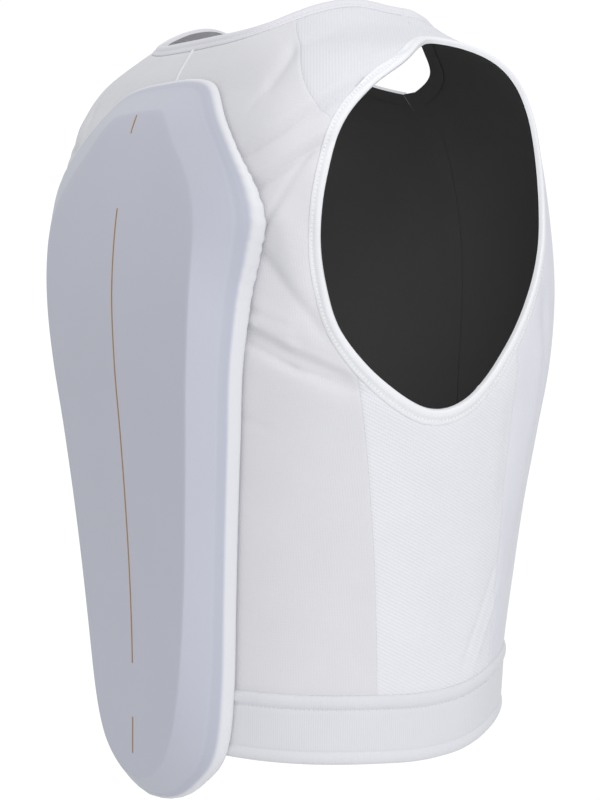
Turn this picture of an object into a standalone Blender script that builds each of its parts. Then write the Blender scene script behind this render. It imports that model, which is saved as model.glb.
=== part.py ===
"""Back protector vest: a sleeveless stretch vest with a bevelled foam pad over the spine.

Metres, +Z up. The wearer's front faces -Y, the back +Y, the wearer's left is +X.
The origin is the middle of the neck opening at the height of the shoulder tops.
Angles run round the body in degrees from the middle of the back (0), by the side (90),
to the middle of the front (180).
"""

import bmesh
import bpy
import numpy as np

for item in list(bpy.data.objects):
    bpy.data.objects.remove(item, do_unlink=True)

# The torso that the vest is worn on.
BACK_LENGTH = 0.454        # shoulder tops down to the hem at the back
CHEST_HALF_WIDTH = 0.164
BACK_DEPTH = 0.132         # body axis to the cloth at the shoulder blades
FRONT_DEPTH = 0.119        # body axis to the cloth at the chest

# The two shoulder blades push the cloth of the upper back outwards.
BLADE_SWELL = 0.0130
BLADE_DROP = 0.112         # shoulder tops down to the middle of the swell
BLADE_REACH = 0.055        # height over which it fades
BLADE_ANGLE = 43.0
BLADE_ANGLE_REACH = 27.0

# As worn, the left shoulder stands a little higher than the right one.
SHOULDER_LEAN = 0.008
LEAN_REACH = 0.260         # shoulder tops down to where the lean has faded out

# Cloth and seams.
CLOTH = 0.0015
SEAM_GAP = 0.0003          # clearance between pieces that meet at a seam
FOLD_DEPTH = 0.0028

# Neck opening.
BACK_NECK_DROP = 0.029
FRONT_NECK_DROP = 0.047
NECK_BINDING_WIDTH = 0.0085
BINDING_THICKNESS = 0.0027

# Armholes.
ARMHOLE_HEIGHT = 0.203
ARMHOLE_WIDTH = 0.148
ARMHOLE_DROP = 0.1485      # shoulder tops down to the middle of the opening
ARMHOLE_BACK = 0.0195      # body axis back to the middle of the opening
ARM_BINDING_WIDTH = 0.0066

# Hem band.
BAND_HEIGHT = 0.040
BAND_THICKNESS = 0.0032
FRONT_HEM_RISE = 0.015

# Front zip.
ZIP_WIDTH = 0.012
ZIP_THICKNESS = 0.0030

# Back pad.
PAD_LENGTH = 0.433
PAD_HALF_WIDTH = 0.119
PAD_DROP = 0.057           # shoulder tops down to the pad's top edge
PAD_THICKNESS = 0.0175
PAD_CLEARANCE = 0.0016     # pad's underside above the smooth body line

# Where the seams meet the neck, the armhole and the hem, as angles or shares of a loop.
YOKE_BACK_ANGLE = 38.0
YOKE_FRONT_ANGLE = 122.0
SIDE_BACK_ANGLE = 69.6
SIDE_FRONT_ANGLE = 108.5
ARM_YOKE_BACK = 0.182      # shares of the armhole loop, from its top round by the back
ARM_SIDE_BACK = 0.428
ARM_SIDE_FRONT = 0.620
ARM_YOKE_FRONT = 0.915

# Facets along each run of seam.
BACK_HALF_STEPS = 11
YOKE_STEPS = 13
YOKE_ROWS = 5
BACK_ARM_STEPS = 11
FRONT_ARM_STEPS = 12
SIDE_STEPS = 8
SIDE_ROWS = 10
FRONT_STEPS = 8
PAD_HALF_STEPS = 26

# Level sections of the torso. down: share of the back length. width, back and front:
# shares of the chest half width, back depth and front depth. The squareness of the back
# half and of the front half is 2 for an ellipse and more for a boxier shape.
SECTION_COLUMNS = ("down", "width", "back", "front", "back_square", "front_square")
SECTIONS = (
    (0.000, 0.420, 0.430, 0.100, 2.20, 2.20),
    (0.010, 0.480, 0.490, 0.170, 2.25, 2.20),
    (0.022, 0.535, 0.545, 0.245, 2.35, 2.25),
    (0.037, 0.590, 0.595, 0.335, 2.50, 2.30),
    (0.055, 0.665, 0.645, 0.435, 2.70, 2.30),
    (0.075, 0.780, 0.695, 0.535, 3.00, 2.30),
    (0.093, 0.880, 0.735, 0.615, 3.30, 2.30),
    (0.115, 0.940, 0.780, 0.700, 3.55, 2.30),
    (0.145, 0.962, 0.825, 0.790, 3.75, 2.35),
    (0.198, 0.973, 0.900, 0.890, 3.60, 2.40),
    (0.295, 0.985, 0.970, 0.975, 3.00, 2.45),
    (0.396, 1.000, 1.000, 0.995, 2.50, 2.50),
    (0.495, 0.985, 0.990, 0.975, 2.50, 2.50),
    (0.595, 0.925, 0.960, 0.950, 2.45, 2.45),
    (0.690, 0.870, 0.935, 0.920, 2.40, 2.40),
    (0.790, 0.835, 0.915, 0.880, 2.35, 2.35),
    (0.890, 0.815, 0.905, 0.830, 2.30, 2.30),
    (1.000, 0.805, 0.905, 0.800, 2.30, 2.30),
    (1.120, 0.800, 0.910, 0.790, 2.30, 2.30),
    (1.250, 0.800, 0.915, 0.790, 2.30, 2.30),
)

# The neck edge. Shares of the back and of the front neck drop at each angle.
NECKLINE_COLUMNS = ("angle", "back_drop", "front_drop")
NECKLINE = (
    (0.0, 1.00, 0.00),
    (15.0, 0.97, 0.00),
    (28.0, 0.85, 0.00),
    (40.0, 0.62, 0.00),
    (50.0, 0.43, 0.00),
    (62.0, 0.29, 0.00),
    (75.0, 0.26, 0.00),
    (95.0, 0.34, 0.01),
    (112.0, 0.34, 0.09),
    (128.0, 0.16, 0.22),
    (145.0, 0.00, 0.39),
    (157.0, 0.00, 0.56),
    (168.0, 0.00, 0.80),
    (180.0, 0.00, 1.00),
)

# The armhole's cut edge seen from the side, from its top round by the back.
# back and down: shares of half the width and of half the height, from its middle.
ARMHOLE_COLUMNS = ("back", "down")
ARMHOLE = (
    (-0.20, -1.125),
    (0.12, -1.070),
    (0.42, -0.935),
    (0.72, -0.770),
    (0.94, -0.555),
    (1.04, -0.260),
    (1.045, 0.030),
    (0.97, 0.320),
    (0.85, 0.595),
    (0.58, 0.835),
    (0.18, 1.000),
    (-0.18, 0.940),
    (-0.50, 0.660),
    (-0.75, 0.365),
    (-0.95, 0.050),
    (-1.02, -0.220),
    (-1.02, -0.550),
    (-0.94, -0.860),
    (-0.62, -1.065),
)

# The hem's lower edge. Share of the front rise at each angle.
HEM_COLUMNS = ("angle", "rise")
HEM = (
    (0.0, 0.00),
    (60.0, 0.00),
    (82.0, -0.10),
    (92.0, -0.02),
    (101.0, 0.20),
    (112.0, 0.54),
    (126.0, 0.84),
    (150.0, 1.00),
    (180.0, 1.00),
)

# Folds pulled across the cloth. side: -1 the wearer's right, 1 the left. Angles in
# degrees, down: shares of the back length, half_width: share of the chest half width,
# depth: share of the fold depth, below zero for a valley.
FOLD_COLUMNS = ("side", "angle_from", "down_from", "angle_to", "down_to", "half_width", "depth")
FOLDS = (
    (-1, 27.9, 0.237, 55.1, 0.173, 0.045, -0.55),
    (-1, 32.2, 0.281, 56.8, 0.221, 0.045, -0.60),
    (-1, 43.2, 0.306, 45.3, 0.416, 0.070, 0.75),
    (-1, 35.8, 0.360, 52.7, 0.471, 0.045, -0.40),
    (-1, 34.0, 0.430, 43.0, 0.455, 0.045, 0.40),
    (-1, 30.5, 0.459, 59.3, 0.519, 0.045, -1.00),
    (-1, 27.0, 0.151, 33.7, 0.100, 0.050, -0.50),
    (-1, 44.9, 0.085, 89.7, 0.023, 0.060, -0.50),
    (-1, 101.0, 0.542, 105.1, 0.675, 0.060, -0.55),
    (-1, 112.0, 0.460, 118.0, 0.700, 0.080, 0.70),
    (1, 28.0, 0.215, 52.0, 0.160, 0.045, -0.60),
    (1, 31.0, 0.285, 55.0, 0.235, 0.045, -0.45),
    (1, 42.0, 0.320, 45.5, 0.410, 0.070, 0.60),
    (1, 31.0, 0.455, 58.0, 0.525, 0.050, -0.85),
    (1, 50.0, 0.085, 86.0, 0.030, 0.060, -0.45),
    (1, 101.0, 0.550, 105.5, 0.690, 0.060, -0.50),
    (1, 112.0, 0.460, 118.0, 0.690, 0.080, 0.60),
)

# The pad's outline and the crease round its raised middle, from the top middle to the
# bottom middle. Across: shares of the pad's half width. Along: shares of its length.
PAD_COLUMNS = ("outer_across", "outer_along", "crease_across", "crease_along")
PAD_OUTLINE = (
    (0.000, 0.000, 0.000, 0.044),
    (0.210, 0.001, 0.109, 0.045),
    (0.387, 0.008, 0.235, 0.048),
    (0.504, 0.023, 0.328, 0.065),
    (0.681, 0.065, 0.437, 0.095),
    (0.849, 0.109, 0.563, 0.125),
    (0.966, 0.152, 0.672, 0.159),
    (1.000, 0.199, 0.739, 0.201),
    (0.941, 0.245, 0.752, 0.245),
    (0.866, 0.296, 0.739, 0.296),
    (0.815, 0.358, 0.710, 0.360),
    (0.748, 0.457, 0.651, 0.457),
    (0.668, 0.589, 0.580, 0.589),
    (0.618, 0.711, 0.517, 0.711),
    (0.592, 0.820, 0.450, 0.818),
    (0.571, 0.885, 0.391, 0.880),
    (0.529, 0.924, 0.319, 0.921),
    (0.445, 0.952, 0.235, 0.945),
    (0.319, 0.979, 0.134, 0.961),
    (0.168, 0.994, 0.067, 0.965),
    (0.000, 1.000, 0.000, 0.967),
)

# Rings of the pad from its underside over the rim to the middle. toward: 0 at the
# outline, 1 at the crease, 2 at the spine. height: share of the way from the back of the
# vest up to the flat middle.
PAD_RING_COLUMNS = ("toward", "height")
PAD_RINGS = (
    (1.75, 0.000),
    (1.50, 0.000),
    (1.25, 0.000),
    (1.00, 0.000),
    (0.60, 0.000),
    (0.28, 0.000),
    (0.08, 0.000),
    (0.00, 0.090),
    (0.03, 0.200),
    (0.17, 0.330),
    (0.36, 0.500),
    (0.70, 0.770),
    (0.98, 0.975),
    (1.05, 1.000),
    (1.50, 1.000),
)
SPINE_TOP = 0.090          # shares of the pad's length
SPINE_BOTTOM = 0.900


def table(rows):
    return np.array(rows, float)


def through(rows, steps=24, closed=False):
    """A smooth run of rows that passes through every row of a table."""
    rows = table(rows)
    if closed:
        knots = np.vstack([rows[-1], rows, rows[:2]])
    else:
        knots = np.vstack([2 * rows[0] - rows[1], rows, 2 * rows[-1] - rows[-2]])
    share = np.linspace(0.0, 1.0, steps, endpoint=False)[:, None]
    runs = []
    for a, b, c, d in zip(knots, knots[1:], knots[2:], knots[3:]):
        runs.append(0.5 * (2 * b + (c - a) * share + (2 * a - 5 * b + 4 * c - d) * share ** 2
                           + (3 * b - a - 3 * c + d) * share ** 3))
    if not closed:
        runs.append(rows[-1:])
    return np.vstack(runs)


SMOOTH_SECTIONS = through(SECTIONS)
SMOOTH_NECKLINE = through(NECKLINE)
SMOOTH_HEM = through(HEM)
FOLD_ROWS = table(FOLDS)


def section(z):
    down = -z / BACK_LENGTH
    column = [np.interp(down, SMOOTH_SECTIONS[:, 0], SMOOTH_SECTIONS[:, k]) for k in range(1, 6)]
    width, back, front, back_square, front_square = column
    return width * CHEST_HALF_WIDTH, back * BACK_DEPTH, front * FRONT_DEPTH, back_square, front_square


def blade_swell(angle, z):
    aside = (np.abs(angle) - BLADE_ANGLE) / BLADE_ANGLE_REACH
    above = (z + BLADE_DROP) / BLADE_REACH
    return BLADE_SWELL * np.exp(-aside ** 2 - above ** 2)


def lean(x, z):
    fade = np.clip(1.0 + z / LEAN_REACH, 0.0, 1.0)
    return SHOULDER_LEAN * x / CHEST_HALF_WIDTH * fade * fade * (3.0 - 2.0 * fade)


def smooth_torso(angle, z):
    """Points on the unfolded cloth. A negative angle is on the wearer's right."""
    angle, z = np.broadcast_arrays(np.asarray(angle, float), np.asarray(z, float))
    width, back, front, back_square, front_square = section(z)
    turn = np.radians(angle)
    across, along = np.sin(turn), np.cos(turn)
    square = np.where(along >= 0, back_square, front_square)
    depth = np.where(along >= 0, back, front)
    x = width * np.sign(across) * np.abs(across) ** (2 / square)
    y = depth * np.sign(along) * np.abs(along) ** (2 / square)
    return np.stack([x, y + blade_swell(angle, z), z + lean(x, z)], axis=-1)


def slopes(angle, z):
    da, dz = 0.05, 0.0001
    by_angle = (smooth_torso(angle + da, z) - smooth_torso(angle - da, z)) / (2 * da)
    by_height = (smooth_torso(angle, z + dz) - smooth_torso(angle, z - dz)) / (2 * dz)
    return by_angle, by_height


def outward(angle, z):
    by_angle, by_height = slopes(angle, z)
    normal = np.cross(by_height, by_angle)
    return normal / np.linalg.norm(normal, axis=-1, keepdims=True)


def fold_height(angle, z):
    """How far the folds lift or sink the cloth at each point."""
    height = np.zeros(np.broadcast(angle, z).shape)
    around = np.radians(np.abs(angle)) * CHEST_HALF_WIDTH
    for side, angle_from, down_from, angle_to, down_to, half_width, depth in FOLD_ROWS:
        start = np.array([np.radians(angle_from) * CHEST_HALF_WIDTH, -down_from * BACK_LENGTH])
        end = np.array([np.radians(angle_to) * CHEST_HALF_WIDTH, -down_to * BACK_LENGTH])
        run = end - start
        length = np.hypot(*run)
        across = (around - start[0]) * run[0] / length + (z - start[1]) * run[1] / length
        beside = (around - start[0]) * run[1] / length - (z - start[1]) * run[0] / length
        beyond = across - np.clip(across, 0.15 * length, 0.85 * length)
        reach = half_width * CHEST_HALF_WIDTH
        near = np.exp(-(beside / reach) ** 2 - (beyond / (0.22 * length)) ** 2)
        height = height + np.where(np.sign(angle) == side, near * depth * FOLD_DEPTH, 0.0)
    return height


def torso(angle, z, lift=0.0):
    """Points on the worn cloth, raised by lift along its outward direction."""
    angle, z = np.broadcast_arrays(np.asarray(angle, float), np.asarray(z, float))
    raised = np.asarray(lift) + fold_height(angle, z)
    return smooth_torso(angle, z) + outward(angle, z) * raised[..., None]


def angle_at_depth(y, z):
    """The angle at which the level section at z lies y behind the body axis."""
    _, back, front, back_square, front_square = section(z)
    square = np.where(y >= 0, back_square, front_square)
    angle = np.full(np.shape(z), 60.0)
    for _ in range(8):
        level = y - blade_swell(angle, z)
        share = np.clip(np.abs(level) / np.where(y >= 0, back, front), 0.0, 1.0) ** (square / 2)
        angle = 0.5 * angle + 0.5 * (90.0 - np.degrees(np.arcsin(share)) * np.sign(level))
    return angle


def angle_at_width(x, z, at_back):
    """The angle at which the level section at z lies x beside the middle."""
    width, _, _, back_square, front_square = section(z)
    square = back_square if at_back else front_square
    share = np.clip(np.abs(x) / width, 0.0, 1.0) ** (square / 2)
    turn = np.degrees(np.arcsin(share))
    return (turn if at_back else 180.0 - turn) * np.sign(x)


def walk(line, distance, closed=False, steps=3):
    """The line moved sideways over the cloth, to the right of its run when seen from outside."""
    line = np.array(line, float)
    for _ in range(steps):
        angle, z = line[:, 0], line[:, 1]
        point = smooth_torso(angle, z)
        if closed:
            run = np.roll(point, -1, axis=0) - np.roll(point, 1, axis=0)
        else:
            run = np.gradient(point, axis=0)
        side = np.cross(outward(angle, z), run)
        side *= (np.asarray(distance) / steps / np.linalg.norm(side, axis=1))[:, None]
        by_angle, by_height = slopes(angle, z)
        aa = (by_angle * by_angle).sum(1)
        ah = (by_angle * by_height).sum(1)
        hh = (by_height * by_height).sum(1)
        sa, sh = (side * by_angle).sum(1), (side * by_height).sum(1)
        whole = aa * hh - ah * ah
        line[:, 0] += (sa * hh - sh * ah) / whole
        line[:, 1] += (sh * aa - sa * ah) / whole
    return line


def spaced(line, count):
    """count + 1 points at even steps along a dense line of angles and heights."""
    point = smooth_torso(line[:, 0], line[:, 1])
    far = np.concatenate([[0.0], np.cumsum(np.linalg.norm(np.diff(point, axis=0), axis=1))])
    at = np.linspace(0.0, far[-1], count + 1)
    return np.stack([np.interp(at, far, line[:, 0]), np.interp(at, far, line[:, 1])], axis=1)


def neck_height(angle):
    back, front = (np.interp(angle, SMOOTH_NECKLINE[:, 0], SMOOTH_NECKLINE[:, k]) for k in (1, 2))
    return -back * BACK_NECK_DROP - front * FRONT_NECK_DROP


def hem_height(angle):
    rise = np.interp(angle, SMOOTH_HEM[:, 0], SMOOTH_HEM[:, 1])
    return -BACK_LENGTH + rise * FRONT_HEM_RISE


def zip_angle(z):
    return angle_at_width(ZIP_WIDTH / 2, z, at_back=False)


# The neck edge on one side, from the middle of the back to the zip, and the seam below
# its binding.
def neck_runs():
    height = neck_height(180.0)
    last = float(zip_angle(height))
    dense = np.linspace(0.0, last, 600)
    edge = np.stack([dense, neck_height(dense)], axis=1)
    stops = np.searchsorted(dense, [YOKE_BACK_ANGLE, YOKE_FRONT_ANGLE])
    parts = [spaced(edge[:stops[0] + 1], BACK_HALF_STEPS),
             spaced(edge[stops[0]:stops[1] + 1], YOKE_STEPS),
             spaced(edge[stops[1]:], FRONT_STEPS)]
    return np.vstack([parts[0], parts[1][1:], parts[2][1:]])


NECK_EDGE = neck_runs()
YOKE_FROM = BACK_HALF_STEPS
YOKE_TO = BACK_HALF_STEPS + YOKE_STEPS


def neck_line(distance):
    """The neck edge moved down over the cloth, with its ends kept on the middle lines."""
    mirrored = np.vstack([NECK_EDGE[:0:-1] * [-1.0, 1.0], NECK_EDGE])
    moved = walk(mirrored, distance)[len(NECK_EDGE) - 1:]
    moved[0, 0] = 0.0
    moved[-1, 0] = zip_angle(moved[-1, 1])
    return moved


def armhole_runs():
    """The armhole's cut edge on one side, as a closed run of angles and heights."""
    shape = through(ARMHOLE, steps=40, closed=True)
    y = ARMHOLE_BACK + shape[:, 0] * ARMHOLE_WIDTH / 2
    z = -ARMHOLE_DROP - shape[:, 1] * ARMHOLE_HEIGHT / 2
    loop = np.stack([angle_at_depth(y, z), z], axis=1)
    loop = np.vstack([loop, loop[:1]])
    point = smooth_torso(loop[:, 0], loop[:, 1])
    far = np.concatenate([[0.0], np.cumsum(np.linalg.norm(np.diff(point, axis=0), axis=1))])
    share = far / far[-1]
    corners = (ARM_YOKE_BACK, ARM_SIDE_BACK, ARM_SIDE_FRONT, ARM_YOKE_FRONT, 1 + ARM_YOKE_BACK)
    counts = (BACK_ARM_STEPS, SIDE_STEPS, FRONT_ARM_STEPS, YOKE_STEPS)
    at = np.concatenate([np.linspace(a, b, n, endpoint=False)
                         for a, b, n in zip(corners, corners[1:], counts)])
    return np.stack([np.interp(at % 1.0, share, loop[:, k]) for k in (0, 1)], axis=1)


ARM_EDGE = armhole_runs()
ARM_SEAM = walk(ARM_EDGE, ARM_BINDING_WIDTH, closed=True)
ARM_SIDE_FROM = BACK_ARM_STEPS
ARM_FRONT_FROM = ARM_SIDE_FROM + SIDE_STEPS
ARM_YOKE_FROM = ARM_FRONT_FROM + FRONT_ARM_STEPS
NECK_SEAM = neck_line(NECK_BINDING_WIDTH)


def seam(start, end, count, bow=0.0):
    """A seam across the cloth from start to end, bowed sideways by some degrees."""
    share = np.linspace(0.0, 1.0, count + 1)[:, None]
    line = np.asarray(start) * (1 - share) + np.asarray(end) * share
    line[:, 0] += bow * np.sin(np.pi * share[:, 0])
    return line


def hem_seam(start, end, count):
    angle = np.linspace(start, end, count + 1)
    return np.stack([angle, hem_height(angle) + BAND_HEIGHT], axis=1)


HEM_ZIP_ANGLE = float(zip_angle(hem_height(180.0) + BAND_HEIGHT))
YOKE_BACK_SEAM = seam(NECK_SEAM[YOKE_FROM], ARM_SEAM[0], YOKE_ROWS, bow=-11.0)
YOKE_FRONT_SEAM = seam(NECK_SEAM[YOKE_TO], ARM_SEAM[ARM_YOKE_FROM], YOKE_ROWS)
HEM_BACK = hem_seam(0.0, SIDE_BACK_ANGLE, BACK_HALF_STEPS)
HEM_SIDE = hem_seam(SIDE_BACK_ANGLE, SIDE_FRONT_ANGLE, SIDE_STEPS)
HEM_FRONT = hem_seam(SIDE_FRONT_ANGLE, HEM_ZIP_ANGLE, FRONT_STEPS)
SIDE_BACK_SEAM = seam(ARM_SEAM[ARM_SIDE_FROM], HEM_BACK[-1], SIDE_ROWS, bow=2.4)
SIDE_FRONT_SEAM = seam(ARM_SEAM[ARM_FRONT_FROM], HEM_SIDE[-1], SIDE_ROWS, bow=2.0)


def material(name, colour, roughness):
    finish = bpy.data.materials.new(name)
    finish.use_nodes = True
    shader = finish.node_tree.nodes["Principled BSDF"]
    shader.inputs["Base Color"].default_value = (*colour, 1.0)
    shader.inputs["Roughness"].default_value = roughness
    return finish


STRETCH_CLOTH = material("stretch_cloth", (0.78, 0.78, 0.80), 0.85)
MESH_CLOTH = material("mesh_cloth", (0.80, 0.80, 0.81), 0.90)
BINDING_TAPE = material("binding_tape", (0.84, 0.84, 0.85), 0.80)
BAND_CLOTH = material("band_cloth", (0.74, 0.75, 0.80), 0.85)
PAD_FOAM = material("pad_foam", (0.50, 0.53, 0.63), 0.60)
ZIP_PLASTIC = material("zip_plastic", (0.80, 0.80, 0.82), 0.45)


def make(name, points, faces, finish):
    """A closed mesh object whose faces point outwards."""
    built = bmesh.new()
    corners = [built.verts.new(point) for point in points]
    for face in faces:
        built.faces.new([corners[int(k)] for k in face])
    bmesh.ops.recalc_face_normals(built, faces=built.faces)
    mesh = bpy.data.meshes.new(name)
    built.to_mesh(mesh)
    built.free()
    mesh.materials.append(finish)
    item = bpy.data.objects.new(name, mesh)
    bpy.context.scene.collection.objects.link(item)
    return item


def sheet(name, top, bottom, first, last, side, finish):
    """A cloth panel between four seams, each a run of angles and heights."""
    across = np.linspace(0.0, 1.0, len(top))[None, :, None]
    down = np.linspace(0.0, 1.0, len(first))[:, None, None]
    grid = ((1 - down) * top[None] + down * bottom[None]
            + (1 - across) * first[:, None] + across * last[:, None]
            - (1 - across) * (1 - down) * top[0] - across * (1 - down) * top[-1]
            - (1 - across) * down * bottom[0] - across * down * bottom[-1])
    angle = grid[..., 0] * side
    z = grid[..., 1]
    outer = torso(angle, z)
    normal = outward(angle, z)
    inset = SEAM_GAP / 2
    for edge, inner in (((0, slice(None)), (1, slice(None))), ((-1, slice(None)), (-2, slice(None))),
                        ((slice(None), 0), (slice(None), 1)), ((slice(None), -1), (slice(None), -2))):
        run = np.gradient(outer[edge], axis=0)
        step = np.cross(normal[edge], run)
        step /= np.linalg.norm(step, axis=1, keepdims=True)
        step *= np.sign((step * (outer[inner] - outer[edge])).sum(1))[:, None]
        outer[edge] += step * inset
    rows, columns = angle.shape
    points = np.vstack([outer.reshape(-1, 3), (outer - normal * CLOTH).reshape(-1, 3)])
    faces = []
    under = rows * columns
    for i in range(rows - 1):
        for j in range(columns - 1):
            a, b = i * columns + j, i * columns + j + 1
            c, d = b + columns, a + columns
            faces.append((a, b, c, d))
            faces.append((d + under, c + under, b + under, a + under))
    rim = ([j for j in range(columns)] + [i * columns + columns - 1 for i in range(1, rows)]
           + [(rows - 1) * columns + j for j in range(columns - 2, -1, -1)]
           + [i * columns for i in range(rows - 2, 0, -1)])
    for a, b in zip(rim, rim[1:] + rim[:1]):
        faces.append((b, a, a + under, b + under))
    return make(name, points, faces, finish)


def strip(name, sections, closed, finish):
    """A solid lofted through sections, each the same number of points round."""
    sections = np.array(sections)
    count, round_count = sections.shape[:2]
    faces = []
    for i in range(count if closed else count - 1):
        j = (i + 1) % count
        for k in range(round_count):
            m = (k + 1) % round_count
            faces.append((i * round_count + k, i * round_count + m,
                          j * round_count + m, j * round_count + k))
    if not closed:
        faces.append(tuple(range(round_count))[::-1])
        faces.append(tuple((count - 1) * round_count + k for k in range(round_count)))
    return make(name, sections.reshape(-1, 3), faces, finish)


# Cross section of a binding or band. share: from its free edge to its seam, lift: share of
# its thickness outside the cloth's face, or below it for the inner side.
TAPE_COLUMNS = ("share", "lift")
TAPE = (
    (0.00, 0.05),
    (0.18, 0.30),
    (0.82, 0.30),
    (1.00, 0.05),
    (1.00, -0.70),
    (0.00, -0.70),
)


def tape_sections(lines, thickness, side):
    """Sections of a tape along lines of angles and heights, one line for each tape point."""
    rows = []
    for line, (_, lift) in zip(lines, TAPE):
        rows.append(torso(line[:, 0] * side, line[:, 1], lift * thickness))
    return np.stack(rows, axis=1)


def both_sides(line):
    """A line from the middle of the back run on both sides, from the left zip edge."""
    return np.vstack([line[:0:-1] * [-1.0, 1.0], line])


# Neck binding: a stretch tape folded over the neck edge, open at the front zip.
neck_lines = []
for share, _ in TAPE:
    line = neck_line(share * (NECK_BINDING_WIDTH - SEAM_GAP / 2)) if share else NECK_EDGE.copy()
    line[-1, 0] = angle_at_width(ZIP_WIDTH / 2 + SEAM_GAP / 2, line[-1, 1], at_back=False)
    neck_lines.append(both_sides(line))
strip("neck_binding", tape_sections(neck_lines, BINDING_THICKNESS, 1), False, BINDING_TAPE)

# Armhole bindings: the same tape as a closed loop round each armhole.
arm_lines = []
for share, _ in TAPE:
    width = share * (ARM_BINDING_WIDTH - SEAM_GAP / 2)
    arm_lines.append(walk(ARM_EDGE, width, closed=True) if share else ARM_EDGE)
for name, side in (("armhole_binding_right", -1), ("armhole_binding_left", 1)):
    strip(name, tape_sections(arm_lines, BINDING_THICKNESS, side), True, BINDING_TAPE)

# Hem band: a firm double stretch band from one edge of the zip round to the other.
band_top = np.vstack([HEM_BACK, HEM_SIDE[1:], HEM_FRONT[1:]])
band_lines = []
for share, _ in TAPE:
    line = band_top.copy()
    line[:, 1] -= SEAM_GAP / 2 + (1 - share) * (BAND_HEIGHT - SEAM_GAP / 2)
    line[-1, 0] = angle_at_width(ZIP_WIDTH / 2 + SEAM_GAP / 2, line[-1, 1], at_back=False)
    band_lines.append(both_sides(line))
strip("hem_band", tape_sections(band_lines, BAND_THICKNESS, 1), False, BAND_CLOTH)

# Cloth panels.
yoke_neck = NECK_SEAM[YOKE_FROM:YOKE_TO + 1]
yoke_arm = np.vstack([ARM_SEAM[ARM_YOKE_FROM:], ARM_SEAM[:1]])[::-1]
front_neck = NECK_SEAM[YOKE_TO:]
front_arm = ARM_SEAM[ARM_FRONT_FROM:ARM_YOKE_FROM + 1][::-1]
side_arm = ARM_SEAM[ARM_SIDE_FROM:ARM_FRONT_FROM + 1]
back_edge = np.vstack([YOKE_BACK_SEAM, ARM_SEAM[1:ARM_SIDE_FROM], SIDE_BACK_SEAM])
front_edge = np.vstack([YOKE_FRONT_SEAM, front_arm[1:-1], SIDE_FRONT_SEAM])
share = np.linspace(0.0, 1.0, len(front_edge))
zip_z = front_neck[-1, 1] * (1 - share) + HEM_FRONT[-1, 1] * share
front_middle = np.stack([zip_angle(zip_z), zip_z], axis=1)
sheet("back_panel", both_sides(NECK_SEAM[:YOKE_FROM + 1]), both_sides(HEM_BACK),
      back_edge * [-1.0, 1.0], back_edge, 1, STRETCH_CLOTH)
for word, side in (("right", -1), ("left", 1)):
    sheet("shoulder_yoke_" + word, yoke_neck, yoke_arm, YOKE_BACK_SEAM, YOKE_FRONT_SEAM,
          side, MESH_CLOTH)
    sheet("side_panel_" + word, side_arm, HEM_SIDE, SIDE_BACK_SEAM, SIDE_FRONT_SEAM,
          side, MESH_CLOTH)
    sheet("front_panel_" + word, front_neck, HEM_FRONT, front_edge, front_middle,
          side, STRETCH_CLOTH)

# Front zip: a plain closed zip with its tape, from the neck edge to the hem.
zip_rows = np.linspace(neck_height(180.0), hem_height(180.0), 16)
zip_sections = []
half = (ZIP_WIDTH - SEAM_GAP) / 2
for z in zip_rows:
    width, back, front, _, square = section(z)
    around = []
    for across, lift in ((-1.0, 0.0), (-0.45, 0.0), (-0.35, 0.35), (0.35, 0.35), (0.45, 0.0),
                         (1.0, 0.0), (1.0, -0.55), (-1.0, -0.55)):
        x = across * half
        y = -front * (1 - (abs(x) / width) ** square) ** (1 / square)
        around.append((x, y - lift * ZIP_THICKNESS, z))
    zip_sections.append(around)
strip("front_zip", zip_sections, False, ZIP_PLASTIC)


# Back pad: one moulded foam pad, bevelled from a soft rim up to a raised middle.
def pad_surface(x, z, height):
    """Points of the pad, from its underside on the vest (0) up to its flat middle (1)."""
    angle = angle_at_width(x, z, at_back=True)
    under = smooth_torso(angle, z) + outward(angle, z) * PAD_CLEARANCE
    spine = section(z)[1] + PAD_THICKNESS
    return under + (np.stack([x, spine, z + lean(x, z)], axis=1) - under) * height


def pad_rings():
    outline = through(PAD_OUTLINE)
    run = np.hypot(np.diff(outline[:, 0]) * PAD_HALF_WIDTH, np.diff(outline[:, 1]) * PAD_LENGTH)
    far = np.concatenate([[0.0], np.cumsum(run)])
    at = np.linspace(0.0, far[-1], PAD_HALF_STEPS + 1)
    half = np.stack([np.interp(at, far, outline[:, k]) for k in range(4)], axis=1)
    spine = np.linspace(SPINE_TOP, SPINE_BOTTOM, PAD_HALF_STEPS + 1)
    rings = []
    for toward, height in PAD_RINGS + ((2.0, 1.0), (2.0, 0.0)):
        to_crease, to_spine = min(toward, 1.0), max(toward - 1.0, 0.0)
        across = half[:, 0] * (1 - to_crease) + half[:, 2] * to_crease
        along = half[:, 1] * (1 - to_crease) + half[:, 3] * to_crease
        across, along = across * (1 - to_spine), along * (1 - to_spine) + spine * to_spine
        x = across * PAD_HALF_WIDTH
        z = -PAD_DROP - along * PAD_LENGTH
        left = pad_surface(x, z, height)
        if toward == 2.0:
            rings.append(left)
        else:
            right = pad_surface(-x[-2:0:-1], z[-2:0:-1], height)
            rings.append(np.vstack([left, right]))
    return rings


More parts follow.
